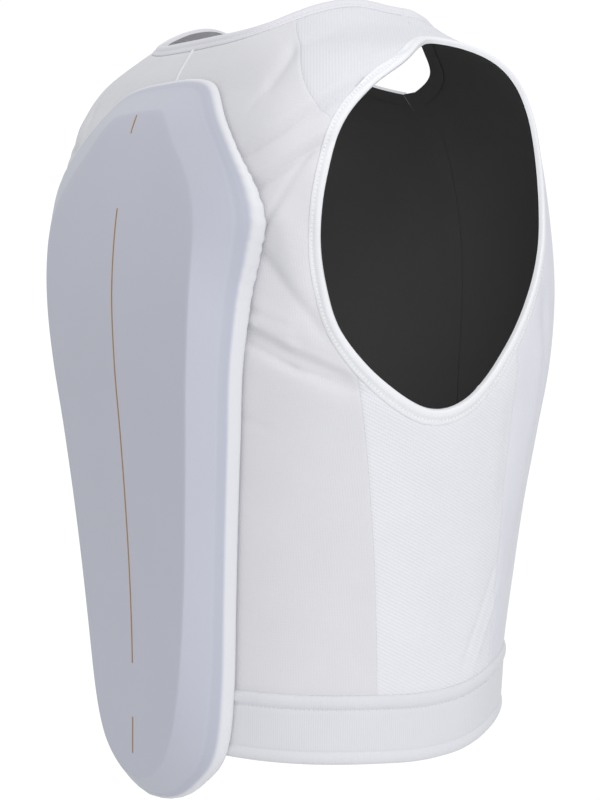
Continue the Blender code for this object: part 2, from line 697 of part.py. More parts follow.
rings = pad_rings()
count = 2 * PAD_HALF_STEPS
top_spine, under_spine = rings[-2], rings[-1]
points = np.vstack(rings[:-2] + [top_spine, under_spine])
first_top = (len(rings) - 2) * count
first_under = first_top + PAD_HALF_STEPS + 1
faces = []
for ring in range(len(PAD_RINGS) - 1):
    for k in range(count):
        m = (k + 1) % count
        a, b = ring * count, (ring + 1) * count
        faces.append((a + k, a + m, b + m, b + k))
for ring, spine, flip in ((len(PAD_RINGS) - 1, first_top, False), (0, first_under, True)):
    for k in range(count):
        m = (k + 1) % count
        p = k if k <= PAD_HALF_STEPS else count - k
        q = m if m <= PAD_HALF_STEPS else count - m
        face = (ring * count + k, ring * count + m, spine + q, spine + p)
        faces.append(face[::-1] if flip else face)
make("back_pad", points, faces, PAD_FOAM)
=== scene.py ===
"""Looks of the back protector vest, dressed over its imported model.

Metres, +Z up. The wearer's front faces -Y, the back +Y, the wearer's left is +X.
The origin is the middle of the neck opening at the height of the shoulder tops.
Angles run round the body in degrees from the middle of the back (0), by the side (90),
to the middle of the front (180), and below zero on the wearer's right.
"""
import math

import bmesh
import bpy
import numpy as np
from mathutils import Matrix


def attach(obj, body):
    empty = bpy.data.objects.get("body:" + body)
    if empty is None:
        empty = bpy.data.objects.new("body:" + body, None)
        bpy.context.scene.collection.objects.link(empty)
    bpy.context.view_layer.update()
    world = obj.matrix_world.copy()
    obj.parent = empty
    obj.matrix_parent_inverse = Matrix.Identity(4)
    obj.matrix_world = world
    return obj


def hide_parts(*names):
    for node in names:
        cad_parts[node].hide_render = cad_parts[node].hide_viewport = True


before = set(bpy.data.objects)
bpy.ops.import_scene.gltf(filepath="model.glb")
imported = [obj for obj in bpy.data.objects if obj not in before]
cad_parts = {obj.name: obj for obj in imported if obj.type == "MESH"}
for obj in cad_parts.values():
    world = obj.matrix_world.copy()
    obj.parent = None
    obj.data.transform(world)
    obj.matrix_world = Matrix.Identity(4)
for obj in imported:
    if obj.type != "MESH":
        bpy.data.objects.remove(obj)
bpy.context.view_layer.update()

# Back panel: one cut of smooth two-way stretch knit from the neck to the waistband, with
# the shoulder blades pushing it out and folds pulled from the pad to the armholes.
# It is sewn to its neighbours at every edge, so its outermost millimetre sinks there.

# The torso that the vest is worn on. Its sizes and form, here and below, are those of the
# part's source. Only the gap at the seams and the facets are finer here.
BACK_LENGTH = 0.454        # shoulder tops down to the hem at the back
CHEST_HALF_WIDTH = 0.164
BACK_DEPTH = 0.132         # body axis to the cloth at the shoulder blades
FRONT_DEPTH = 0.119        # body axis to the cloth at the chest

# The two shoulder blades push the cloth of the upper back outwards.
BLADE_SWELL = 0.0130
BLADE_DROP = 0.112         # shoulder tops down to the middle of the swell
BLADE_REACH = 0.055        # height over which it fades
BLADE_ANGLE = 43.0
BLADE_ANGLE_REACH = 27.0

# As worn, the left shoulder stands a little higher than the right one.
SHOULDER_LEAN = 0.008
LEAN_REACH = 0.260         # shoulder tops down to where the lean has faded out

# Cloth and seams.
CLOTH = 0.0015             # thickness
SEAM_GAP = 0.00006         # pieces are sewn edge to edge
FOLD_DEPTH = 0.0028        # of a fold whose depth is 1 in the table of folds
FOLD_ENDS = 0.15           # share of a fold's length at each end from which it dies out
FOLD_FADE = 0.22           # share of its length over which it does

# Neck opening.
BACK_NECK_DROP = 0.029
FRONT_NECK_DROP = 0.047
NECK_BINDING_WIDTH = 0.0085

# Armholes.
ARMHOLE_HEIGHT = 0.203
ARMHOLE_WIDTH = 0.148
ARMHOLE_DROP = 0.1485      # shoulder tops down to the middle of the opening
ARMHOLE_BACK = 0.0195      # body axis back to the middle of the opening
ARM_BINDING_WIDTH = 0.0066
ARM_BINDING_SPREAD = 0.38

# Hem band.
BAND_HEIGHT = 0.040
FRONT_HEM_RISE = 0.015

# Front zip.
ZIP_WIDTH = 0.012

# Where the seams meet the neck, the armhole and the hem, as angles or shares of a loop.
YOKE_BACK_ANGLE = 38.0
YOKE_FRONT_ANGLE = 122.0
SIDE_BACK_ANGLE = 69.6
SIDE_FRONT_ANGLE = 108.5
ARM_YOKE_BACK = 0.182      # shares of the armhole loop, from its top round by the back
ARM_SIDE_BACK = 0.428
ARM_SIDE_FRONT = 0.620
ARM_YOKE_FRONT = 0.915

# Facets along each run of seam.
BACK_HALF_STEPS = 88
YOKE_STEPS = 104
YOKE_ROWS = 40
BACK_ARM_STEPS = 88
FRONT_ARM_STEPS = 96
SIDE_STEPS = 64
SIDE_ROWS = 80
FRONT_STEPS = 64

# Level sections of the torso: the height as a share of the back length down, then shares
# of the chest half width, the back depth and the front depth, then the squareness of the
# back half and of the front half, which is 2 for an ellipse and more for a boxier shape.
SECTIONS = (
    (0.000, 0.420, 0.430, 0.100, 2.20, 2.20),
    (0.010, 0.480, 0.490, 0.170, 2.25, 2.20),
    (0.022, 0.535, 0.545, 0.245, 2.35, 2.25),
    (0.037, 0.590, 0.595, 0.335, 2.50, 2.30),
    (0.055, 0.665, 0.645, 0.435, 2.70, 2.30),
    (0.075, 0.780, 0.695, 0.535, 3.00, 2.30),
    (0.093, 0.880, 0.735, 0.615, 3.30, 2.30),
    (0.115, 0.940, 0.780, 0.700, 3.55, 2.30),
    (0.145, 0.962, 0.825, 0.790, 3.75, 2.35),
    (0.198, 0.973, 0.900, 0.890, 3.60, 2.40),
    (0.295, 0.985, 0.970, 0.975, 3.00, 2.45),
    (0.396, 1.000, 1.000, 0.995, 2.50, 2.50),
    (0.495, 0.985, 0.990, 0.975, 2.50, 2.50),
    (0.595, 0.925, 0.960, 0.950, 2.45, 2.45),
    (0.690, 0.870, 0.935, 0.920, 2.40, 2.40),
    (0.790, 0.835, 0.915, 0.880, 2.35, 2.35),
    (0.890, 0.815, 0.905, 0.830, 2.30, 2.30),
    (1.000, 0.805, 0.905, 0.800, 2.30, 2.30),
    (1.120, 0.800, 0.910, 0.790, 2.30, 2.30),
    (1.250, 0.800, 0.915, 0.790, 2.30, 2.30),
)

# The neck edge: an angle, and the shares of the back and of the front neck drop there.
NECKLINE = (
    (0.0, 1.00, 0.00),
    (15.0, 0.97, 0.00),
    (28.0, 0.85, 0.00),
    (40.0, 0.62, 0.00),
    (50.0, 0.43, 0.00),
    (62.0, 0.29, 0.00),
    (75.0, 0.26, 0.00),
    (95.0, 0.34, 0.01),
    (112.0, 0.34, 0.09),
    (128.0, 0.16, 0.22),
    (145.0, 0.00, 0.39),
    (157.0, 0.00, 0.56),
    (168.0, 0.00, 0.80),
    (180.0, 0.00, 1.00),
)

# The armhole's cut edge seen from the side, from its top round by the back: how far back
# and how far down it is from its middle, as shares of half its width and half its height.
ARMHOLE = (
    (-0.20, -1.125),
    (0.12, -1.070),
    (0.42, -0.935),
    (0.72, -0.770),
    (0.94, -0.555),
    (1.04, -0.260),
    (1.045, 0.030),
    (0.97, 0.320),
    (0.85, 0.595),
    (0.58, 0.835),
    (0.18, 1.000),
    (-0.18, 0.940),
    (-0.50, 0.660),
    (-0.75, 0.365),
    (-0.95, 0.050),
    (-1.02, -0.220),
    (-1.02, -0.550),
    (-0.94, -0.860),
    (-0.62, -1.065),
)

# The hem's lower edge: an angle, and the share of the front rise there.
HEM = (
    (0.0, 0.00),
    (60.0, 0.00),
    (82.0, -0.10),
    (92.0, -0.02),
    (101.0, 0.20),
    (112.0, 0.54),
    (126.0, 0.84),
    (150.0, 1.00),
    (180.0, 1.00),
)

# Folds pulled across the cloth: the side, -1 for the wearer's right and 1 for the left, the
# angle and the share of the back length where the fold starts, the same where it ends, its
# half width as a share of the chest half width, and its depth as a share of the fold depth,
# below zero for a valley.
FOLDS = (
    (-1, 27.9, 0.237, 55.1, 0.173, 0.045, -0.55),
    (-1, 32.2, 0.281, 56.8, 0.221, 0.045, -0.60),
    (-1, 43.2, 0.306, 45.3, 0.416, 0.070, 0.75),
    (-1, 35.8, 0.360, 52.7, 0.471, 0.045, -0.40),
    (-1, 34.0, 0.430, 43.0, 0.455, 0.045, 0.40),
    (-1, 30.5, 0.459, 59.3, 0.519, 0.045, -1.00),
    (-1, 27.0, 0.151, 33.7, 0.100, 0.050, -0.50),
    (-1, 44.9, 0.085, 89.7, 0.023, 0.060, -0.50),
    (-1, 101.0, 0.542, 105.1, 0.675, 0.060, -0.55),
    (-1, 112.0, 0.460, 118.0, 0.700, 0.080, 0.70),
    (1, 28.0, 0.215, 52.0, 0.160, 0.045, -0.60),
    (1, 31.0, 0.285, 55.0, 0.235, 0.045, -0.45),
    (1, 42.0, 0.320, 45.5, 0.410, 0.070, 0.60),
    (1, 31.0, 0.455, 58.0, 0.525, 0.050, -0.85),
    (1, 50.0, 0.085, 86.0, 0.030, 0.060, -0.45),
    (1, 101.0, 0.550, 105.5, 0.690, 0.060, -0.50),
    (1, 112.0, 0.460, 118.0, 0.690, 0.080, 0.60),
)


def through(rows, steps=60, closed=False):
    """A smooth run of rows that passes through every row of a table."""
    rows = np.array(rows, float)
    if closed:
        knots = np.vstack([rows[-1], rows, rows[:2]])
    else:
        knots = np.vstack([2 * rows[0] - rows[1], rows, 2 * rows[-1] - rows[-2]])
    share = np.linspace(0.0, 1.0, steps, endpoint=False)[:, None]
    runs = []
    for a, b, c, d in zip(knots, knots[1:], knots[2:], knots[3:]):
        runs.append(0.5 * (2 * b + (c - a) * share + (2 * a - 5 * b + 4 * c - d) * share ** 2
                           + (3 * b - a - 3 * c + d) * share ** 3))
    if not closed:
        runs.append(rows[-1:])
    return np.vstack(runs)


def distances(points):
    """Metres along a run of points, from its first one."""
    return np.concatenate([[0.0], np.cumsum(np.linalg.norm(np.diff(points, axis=0), axis=1))])


SMOOTH_SECTIONS = through(SECTIONS)
SMOOTH_NECKLINE = through(NECKLINE)
SMOOTH_HEM = through(HEM)


def section(z):
    """Half width, back depth, front depth and both squarenesses of the torso at z."""
    down = -z / BACK_LENGTH
    column = [np.interp(down, SMOOTH_SECTIONS[:, 0], SMOOTH_SECTIONS[:, k]) for k in range(1, 6)]
    width, back, front, back_square, front_square = column
    width, back, front = width * CHEST_HALF_WIDTH, back * BACK_DEPTH, front * FRONT_DEPTH
    return width, back, front, back_square, front_square


def blade_swell(angle, z):
    """How far the shoulder blades push the cloth out at each point."""
    aside = (np.abs(angle) - BLADE_ANGLE) / BLADE_ANGLE_REACH
    above = (z + BLADE_DROP) / BLADE_REACH
    return BLADE_SWELL * np.exp(-aside ** 2 - above ** 2)


def lean(x, z):
    """How far the raised left shoulder lifts each point, and the right one lowers it."""
    fade = np.clip(1.0 + z / LEAN_REACH, 0.0, 1.0)
    return SHOULDER_LEAN * x / CHEST_HALF_WIDTH * fade * fade * (3.0 - 2.0 * fade)


def smooth_torso(angle, z):
    """Points on the unfolded cloth. A negative angle is on the wearer's right."""
    angle, z = np.broadcast_arrays(np.asarray(angle, float), np.asarray(z, float))
    width, back, front, back_square, front_square = section(z)
    turn = np.radians(angle)
    across, along = np.sin(turn), np.cos(turn)
    square = np.where(along >= 0, back_square, front_square)
    depth = np.where(along >= 0, back, front)
    x = width * np.sign(across) * np.abs(across) ** (2 / square)
    y = depth * np.sign(along) * np.abs(along) ** (2 / square)
    return np.stack([x, y + blade_swell(angle, z), z + lean(x, z)], axis=-1)


def slopes(angle, z):
    """How a point of the torso moves for each degree of angle and each metre of height."""
    da, dz = 0.05, 0.0001
    by_angle = (smooth_torso(angle + da, z) - smooth_torso(angle - da, z)) / (2 * da)
    by_height = (smooth_torso(angle, z + dz) - smooth_torso(angle, z - dz)) / (2 * dz)
    return by_angle, by_height


def outward(angle, z):
    """The direction straight out of the torso at each point."""
    by_angle, by_height = slopes(angle, z)
    normal = np.cross(by_height, by_angle)
    return normal / np.linalg.norm(normal, axis=-1, keepdims=True)


def fold_height(angle, z):
    """How far the folds lift or sink the cloth at each point."""
    height = np.zeros(np.broadcast(angle, z).shape)
    around = np.radians(np.abs(angle)) * CHEST_HALF_WIDTH
    for side, angle_from, down_from, angle_to, down_to, half_width, depth in FOLD_ROWS:
        start = np.array([np.radians(angle_from) * CHEST_HALF_WIDTH, -down_from * BACK_LENGTH])
        end = np.array([np.radians(angle_to) * CHEST_HALF_WIDTH, -down_to * BACK_LENGTH])
        run = end - start
        length = np.hypot(*run)
        across = (around - start[0]) * run[0] / length + (z - start[1]) * run[1] / length
        beside = (around - start[0]) * run[1] / length - (z - start[1]) * run[0] / length
        beyond = across - np.clip(across, FOLD_ENDS * length, (1 - FOLD_ENDS) * length)
        reach = half_width * CHEST_HALF_WIDTH
        near = np.exp(-(beside / reach) ** 2 - (beyond / (FOLD_FADE * length)) ** 2)
        height = height + np.where(np.sign(angle) == side, near * depth * FOLD_DEPTH, 0.0)
    return height


def torso(angle, z, lift=0.0):
    """Points on the worn cloth, raised by lift along its outward direction."""
    angle, z = np.broadcast_arrays(np.asarray(angle, float), np.asarray(z, float))
    raised = np.asarray(lift) + fold_height(angle, z)
    return smooth_torso(angle, z) + outward(angle, z) * raised[..., None]


def angle_at_depth(y, z):
    """The angle at which the level section at z lies y behind the body axis."""
    _, back, front, back_square, front_square = section(z)
    square = np.where(y >= 0, back_square, front_square)
    angle = np.full(np.shape(z), 60.0)
    for _ in range(8):
        level = y - blade_swell(angle, z)
        share = np.clip(np.abs(level) / np.where(y >= 0, back, front), 0.0, 1.0) ** (square / 2)
        angle = 0.5 * angle + 0.5 * (90.0 - np.degrees(np.arcsin(share)) * np.sign(level))
    return angle


def angle_at_width(x, z, at_back):
    """The angle at which the level section at z lies x beside the middle."""
    width, _, _, back_square, front_square = section(z)
    square = back_square if at_back else front_square
    share = np.clip(np.abs(x) / width, 0.0, 1.0) ** (square / 2)
    turn = np.degrees(np.arcsin(share))
    return (turn if at_back else 180.0 - turn) * np.sign(x)


def walk(line, distance, closed=False, steps=3):
    """The line moved sideways over the cloth, to the right of its run when seen from outside."""
    line = np.array(line, float)
    for _ in range(steps):
        angle, z = line[:, 0], line[:, 1]
        point = smooth_torso(angle, z)
        if closed:
            run = np.roll(point, -1, axis=0) - np.roll(point, 1, axis=0)
        else:
            run = np.gradient(point, axis=0)
        side = np.cross(outward(angle, z), run)
        side *= (np.asarray(distance) / steps / np.linalg.norm(side, axis=1))[:, None]
        by_angle, by_height = slopes(angle, z)
        aa = (by_angle * by_angle).sum(1)
        ah = (by_angle * by_height).sum(1)
        hh = (by_height * by_height).sum(1)
        sa, sh = (side * by_angle).sum(1), (side * by_height).sum(1)
        whole = aa * hh - ah * ah
        line[:, 0] += (sa * hh - sh * ah) / whole
        line[:, 1] += (sh * aa - sa * ah) / whole
    return line


def spaced(line, count):
    """count + 1 points at even steps along a dense line of angles and heights."""
    far = distances(smooth_torso(line[:, 0], line[:, 1]))
    at = np.linspace(0.0, far[-1], count + 1)
    return np.stack([np.interp(at, far, line[:, 0]), np.interp(at, far, line[:, 1])], axis=1)


def neck_height(angle):
    """The height of the neck's cut edge at an angle."""
    back, front = (np.interp(angle, SMOOTH_NECKLINE[:, 0], SMOOTH_NECKLINE[:, k]) for k in (1, 2))
    return -back * BACK_NECK_DROP - front * FRONT_NECK_DROP


def hem_height(angle):
    """The height of the hem's lower edge at an angle."""
    rise = np.interp(angle, SMOOTH_HEM[:, 0], SMOOTH_HEM[:, 1])
    return -BACK_LENGTH + rise * FRONT_HEM_RISE


def zip_angle(z):
    """The angle of the zip's edge at a height."""
    return angle_at_width(ZIP_WIDTH / 2, z, at_back=False)


def neck_runs():
    """The neck edge on one side, from the middle of the back to the zip."""
    dense = np.linspace(0.0, float(zip_angle(neck_height(180.0))), 600)
    edge = np.stack([dense, neck_height(dense)], axis=1)
    stops = np.searchsorted(dense, [YOKE_BACK_ANGLE, YOKE_FRONT_ANGLE])
    parts = [spaced(edge[:stops[0] + 1], BACK_HALF_STEPS),
             spaced(edge[stops[0]:stops[1] + 1], YOKE_STEPS),
             spaced(edge[stops[1]:], FRONT_STEPS)]
    return np.vstack([parts[0], parts[1][1:], parts[2][1:]])


NECK_EDGE = neck_runs()
YOKE_FROM = BACK_HALF_STEPS
YOKE_TO = BACK_HALF_STEPS + YOKE_STEPS


def neck_line(distance):
    """The neck edge moved down over the cloth, with its ends kept on the middle lines."""
    mirrored = np.vstack([NECK_EDGE[:0:-1] * [-1.0, 1.0], NECK_EDGE])
    moved = walk(mirrored, distance)[len(NECK_EDGE) - 1:]
    moved[0, 0] = 0.0
    moved[-1, 0] = zip_angle(moved[-1, 1])
    return moved


def armhole_runs():
    """The armhole's cut edge on one side, as a closed run of angles and heights."""
    shape = through(ARMHOLE, steps=40, closed=True)
    y = ARMHOLE_BACK + shape[:, 0] * ARMHOLE_WIDTH / 2
    z = -ARMHOLE_DROP - shape[:, 1] * ARMHOLE_HEIGHT / 2
    loop = np.stack([angle_at_depth(y, z), z], axis=1)
    loop = np.vstack([loop, loop[:1]])
    far = distances(smooth_torso(loop[:, 0], loop[:, 1]))
    share = far / far[-1]
    corners = (ARM_YOKE_BACK, ARM_SIDE_BACK, ARM_SIDE_FRONT, ARM_YOKE_FRONT, 1 + ARM_YOKE_BACK)
    counts = (BACK_ARM_STEPS, SIDE_STEPS, FRONT_ARM_STEPS, YOKE_STEPS)
    at = np.concatenate([np.linspace(a, b, n, endpoint=False)
                         for a, b, n in zip(corners, corners[1:], counts)])
    return np.stack([np.interp(at % 1.0, share, loop[:, k]) for k in (0, 1)], axis=1)


ARM_EDGE = armhole_runs()
# Its binding is pulled wider where it turns under the arm.
ARM_LOW = np.clip((-ARMHOLE_DROP - ARM_EDGE[:, 1]) / (0.5 * ARMHOLE_HEIGHT), 0.0, 1.0)
ARM_WIDTH = ARM_BINDING_WIDTH * (1.0 + ARM_BINDING_SPREAD * ARM_LOW ** 1.5)
ARM_SEAM = walk(ARM_EDGE, ARM_WIDTH, closed=True)
ARM_SIDE_FROM = BACK_ARM_STEPS
ARM_FRONT_FROM = ARM_SIDE_FROM + SIDE_STEPS
ARM_YOKE_FROM = ARM_FRONT_FROM + FRONT_ARM_STEPS
NECK_SEAM = neck_line(NECK_BINDING_WIDTH)


def seam(start, end, count, bow=0.0):
    """A seam across the cloth from start to end, bowed sideways by bow degrees."""
    share = np.linspace(0.0, 1.0, count + 1)[:, None]
    line = np.asarray(start) * (1 - share) + np.asarray(end) * share
    line[:, 0] += bow * np.sin(np.pi * share[:, 0])
    return line


def hem_seam(start, end, count):
    """The waistband's top edge from one angle to another."""
    angle = np.linspace(start, end, count + 1)
    return np.stack([angle, hem_height(angle) + BAND_HEIGHT], axis=1)


HEM_ZIP_ANGLE = float(zip_angle(hem_height(180.0) + BAND_HEIGHT))
YOKE_BACK_SEAM = seam(NECK_SEAM[YOKE_FROM], ARM_SEAM[0], YOKE_ROWS, bow=-11.0)
YOKE_FRONT_SEAM = seam(NECK_SEAM[YOKE_TO], ARM_SEAM[ARM_YOKE_FROM], YOKE_ROWS)
HEM_BACK = hem_seam(0.0, SIDE_BACK_ANGLE, BACK_HALF_STEPS)
HEM_SIDE = hem_seam(SIDE_BACK_ANGLE, SIDE_FRONT_ANGLE, SIDE_STEPS)
HEM_FRONT = hem_seam(SIDE_FRONT_ANGLE, HEM_ZIP_ANGLE, FRONT_STEPS)
SIDE_BACK_SEAM = seam(ARM_SEAM[ARM_SIDE_FROM], HEM_BACK[-1], SIDE_ROWS, bow=2.4)
SIDE_FRONT_SEAM = seam(ARM_SEAM[ARM_FRONT_FROM], HEM_SIDE[-1], SIDE_ROWS, bow=2.0)

# Pulls and creases too fine for the part's source, in the columns of the folds.
CREASES = (
    (-1, 23.5, 0.178, 35.0, 0.088, 0.024, -0.26),
    (-1, 33.0, 0.099, 57.0, 0.066, 0.022, -0.24),
    (-1, 28.7, 0.240, 54.2, 0.173, 0.013, -0.50),
    (-1, 28.7, 0.222, 54.2, 0.155, 0.020, 0.34),
    (-1, 33.7, 0.284, 56.9, 0.222, 0.013, -0.50),
    (-1, 33.7, 0.266, 56.9, 0.206, 0.019, 0.32),
    (-1, 38.4, 0.324, 51.7, 0.236, 0.014, -0.40),
    (-1, 41.0, 0.322, 53.0, 0.256, 0.018, 0.26),
    (-1, 56.1, 0.138, 78.0, 0.094, 0.013, -0.34),
    (-1, 54.0, 0.170, 70.3, 0.122, 0.013, -0.40),
    (-1, 50.0, 0.190, 65.6, 0.140, 0.013, -0.34),
    (-1, 52.0, 0.152, 66.0, 0.108, 0.014, 0.20),
    (-1, 50.7, 0.312, 49.4, 0.430, 0.030, -0.32),
    (-1, 30.7, 0.470, 44.0, 0.502, 0.011, -0.36),
    (-1, 40.0, 0.496, 61.0, 0.528, 0.011, -0.40),
    (-1, 31.5, 0.441, 44.0, 0.476, 0.018, 0.36),
    (-1, 41.0, 0.468, 59.0, 0.507, 0.017, 0.32),
    (-1, 36.7, 0.360, 52.7, 0.470, 0.020, -0.24),
    (-1, 30.5, 0.424, 43.0, 0.450, 0.015, -0.24),
    (-1, 27.5, 0.560, 37.0, 0.575, 0.014, -0.14),
    (-1, 95.0, 0.880, 106.0, 0.760, 0.016, -0.22),
    (-1, 99.0, 0.890, 110.0, 0.790, 0.014, 0.20),
    (-1, 112.5, 0.412, 120.4, 0.610, 0.055, -0.95),
    (-1, 116.0, 0.600, 122.0, 0.800, 0.050, -0.45),
    (1, 12.0, 0.112, 19.0, 0.196, 0.015, -0.30),
    (1, 22.0, 0.105, 30.0, 0.205, 0.015, -0.32),
    (1, 32.0, 0.100, 39.0, 0.215, 0.016, -0.30),
    (1, 24.0, 0.175, 34.0, 0.092, 0.028, -0.30),
    (1, 28.7, 0.238, 54.2, 0.178, 0.018, -0.30),
    (1, 33.7, 0.290, 56.9, 0.232, 0.018, -0.30),
    (1, 55.0, 0.142, 76.0, 0.100, 0.014, -0.22),
    (1, 30.7, 0.458, 60.0, 0.526, 0.012, -0.34),
    (1, 31.5, 0.438, 59.0, 0.507, 0.018, 0.30),
    (1, 36.7, 0.362, 52.7, 0.474, 0.020, -0.22),
    (1, 113.0, 0.420, 120.0, 0.615, 0.050, -0.40),
)
FOLD_ROWS = np.array(FOLDS + CREASES, float)

# How far the three outermost rings of a panel's points sink into its seams.
SEAM_SINK = (0.00040, 0.00006, 0.00001)
SHARP_FROM = 55.0          # edges that turn by more degrees than this stay sharp


def linear(colour):
    """An sRGB hex colour as the linear values that a shader takes."""
    parts = [int(colour[k:k + 2], 16) / 255 for k in (1, 3, 5)]
    return (*(p / 12.92 if p <= 0.04045 else ((p + 0.055) / 1.055) ** 2.4 for p in parts), 1.0)


def node(tree, kind, inputs=None, **settings):
    """Adds one node: an input given as a socket is linked, any other is set."""
    made = tree.nodes.new(kind)
    for name, value in settings.items():
        setattr(made, name, value)
    for key, value in (inputs or {}).items():
        if isinstance(value, bpy.types.NodeSocket):
            tree.links.new(value, made.inputs[key])
        else:
            made.inputs[key].default_value = value
    return made


def finish(name, colour, shade, roughness, sheen, mottle=0.03):
    """A material whose colour drifts between two tones in patches of mottle metres."""
    made = bpy.data.materials.new(name)
    made.use_nodes = True
    tree = made.node_tree
    place = node(tree, "ShaderNodeTexCoord")
    drift = node(tree, "ShaderNodeTexNoise", {"Vector": place.outputs["Object"],
                                              "Scale": 1 / mottle, "Detail": 3.0})
    tone = node(tree, "ShaderNodeMix", {"Factor": drift.outputs[0], 6: linear(colour),
                                        7: linear(shade)}, data_type="RGBA")
    shader = tree.nodes["Principled BSDF"]
    tree.links.new(tone.outputs[2], shader.inputs["Base Color"])
    shader.inputs["Roughness"].default_value = roughness
    shader.inputs["Sheen Weight"].default_value = sheen
    shader.inputs["Sheen Roughness"].default_value = 0.5
    return made


def wave(tree, pitch, turn):
    """Lines pitch metres apart over the UV map, 0 to 1. turn is their lean from upright."""
    place = node(tree, "ShaderNodeUVMap", uv_map="cloth")
    split = node(tree, "ShaderNodeSeparateXYZ", {0: place.outputs[0]})
    far = 2 * math.pi / pitch
    across = node(tree, "ShaderNodeMath", {0: split.outputs[0],
                                           1: far * math.cos(math.radians(turn))},
                  operation="MULTIPLY")
    along = node(tree, "ShaderNodeMath", {0: split.outputs[1],
                                          1: far * math.sin(math.radians(turn)),
                                          2: across.outputs[0]}, operation="MULTIPLY_ADD")
    swing = node(tree, "ShaderNodeMath", {0: along.outputs[0]}, operation="SINE")
    level = node(tree, "ShaderNodeMath", {0: swing.outputs[0], 1: 0.5, 2: 0.5},
                 operation="MULTIPLY_ADD")
    return level.outputs[0]


def grain(tree, size):
    """Fine uneven yarn, 0 to 1, in grains of size metres."""
    place = node(tree, "ShaderNodeTexCoord")
    return node(tree, "ShaderNodeTexNoise", {"Vector": place.outputs["Object"],
                                             "Scale": 1 / size, "Detail": 2.0}).outputs[0]


def weave(made, relief, depth, dark):
    """Presses a relief of depth metres into a material and shades its hollows by dark."""
    tree = made.node_tree
    shader = tree.nodes["Principled BSDF"]
    bump = node(tree, "ShaderNodeBump", {"Height": relief, "Strength": 1.0, "Distance": depth})
    tree.links.new(bump.outputs[0], shader.inputs["Normal"])
    tone = shader.inputs["Base Color"].links[0].from_socket
    shade = node(tree, "ShaderNodeMapRange", {0: relief, 3: 1.0 - dark, 4: 1.0})
    mixed = node(tree, "ShaderNodeMix", {"Factor": 1.0, 6: tone, 7: shade.outputs[0]},
                 data_type="RGBA", blend_type="MULTIPLY")
    tree.links.new(mixed.outputs[2], shader.inputs["Base Color"])


def both(tree, first, second, operation="MULTIPLY"):
    """Two levels, or a level and a number, put together."""
    return node(tree, "ShaderNodeMath", {0: first, 1: second}, operation=operation).outputs[0]


def put(name, data):
    """A new object of the scene that shows data."""
    item = bpy.data.objects.new(name, data)
    bpy.context.scene.collection.objects.link(item)
    return item


def closed_mesh(name, points, faces, places, finishes, inner=0):
    """A closed piece whose faces point outwards. places: a UV pair for each face corner.
    The last inner faces take the second finish."""
    mesh = bpy.data.meshes.new(name)
    mesh.from_pydata([tuple(p) for p in points], [], [tuple(int(k) for k in f) for f in faces])
    for made in finishes:
        mesh.materials.append(made)
    kinds = np.zeros(len(faces), np.int32)
    if inner:
        kinds[-inner:] = 1
    mesh.polygons.foreach_set("material_index", kinds)
    layer = mesh.uv_layers.new(name="cloth")
    layer.data.foreach_set("uv", np.asarray(places, np.float32).ravel())
    shaped = bmesh.new()
    shaped.from_mesh(mesh)
    bmesh.ops.recalc_face_normals(shaped, faces=shaped.faces)
    shaped.to_mesh(mesh)
    shaped.free()
    mesh.shade_smooth()
    mesh.set_sharp_from_angle(angle=math.radians(SHARP_FROM))
    return put(name, mesh)


# Metres round the torso at many levels, for patterns that run round it.
LEVELS = np.linspace(0.0, 1.25, 70)
TURNS = np.linspace(0.0, 180.0, 241)
level_ring = smooth_torso(TURNS[None, :], -LEVELS[:, None] * BACK_LENGTH)
level_steps = np.linalg.norm(np.diff(level_ring, axis=1), axis=2)
LEVEL_ARC = np.concatenate([np.zeros((len(LEVELS), 1)), np.cumsum(level_steps, axis=1)], axis=1)


def around_body(angle, z):
    """Metres round the body from the middle of the back, at each point's own level."""
    row = np.clip(-z / BACK_LENGTH / LEVELS[-1] * (len(LEVELS) - 1), 0, len(LEVELS) - 1.001)
    column = np.clip(np.abs(angle) / 180.0 * (len(TURNS) - 1), 0, len(TURNS) - 1.001)
    i, j = row.astype(int), column.astype(int)
    a, b = row - i, column - j
    arc = ((1 - a) * ((1 - b) * LEVEL_ARC[i, j] + b * LEVEL_ARC[i, j + 1])
           + a * ((1 - b) * LEVEL_ARC[i + 1, j] + b * LEVEL_ARC[i + 1, j + 1]))
    return arc * np.sign(angle)


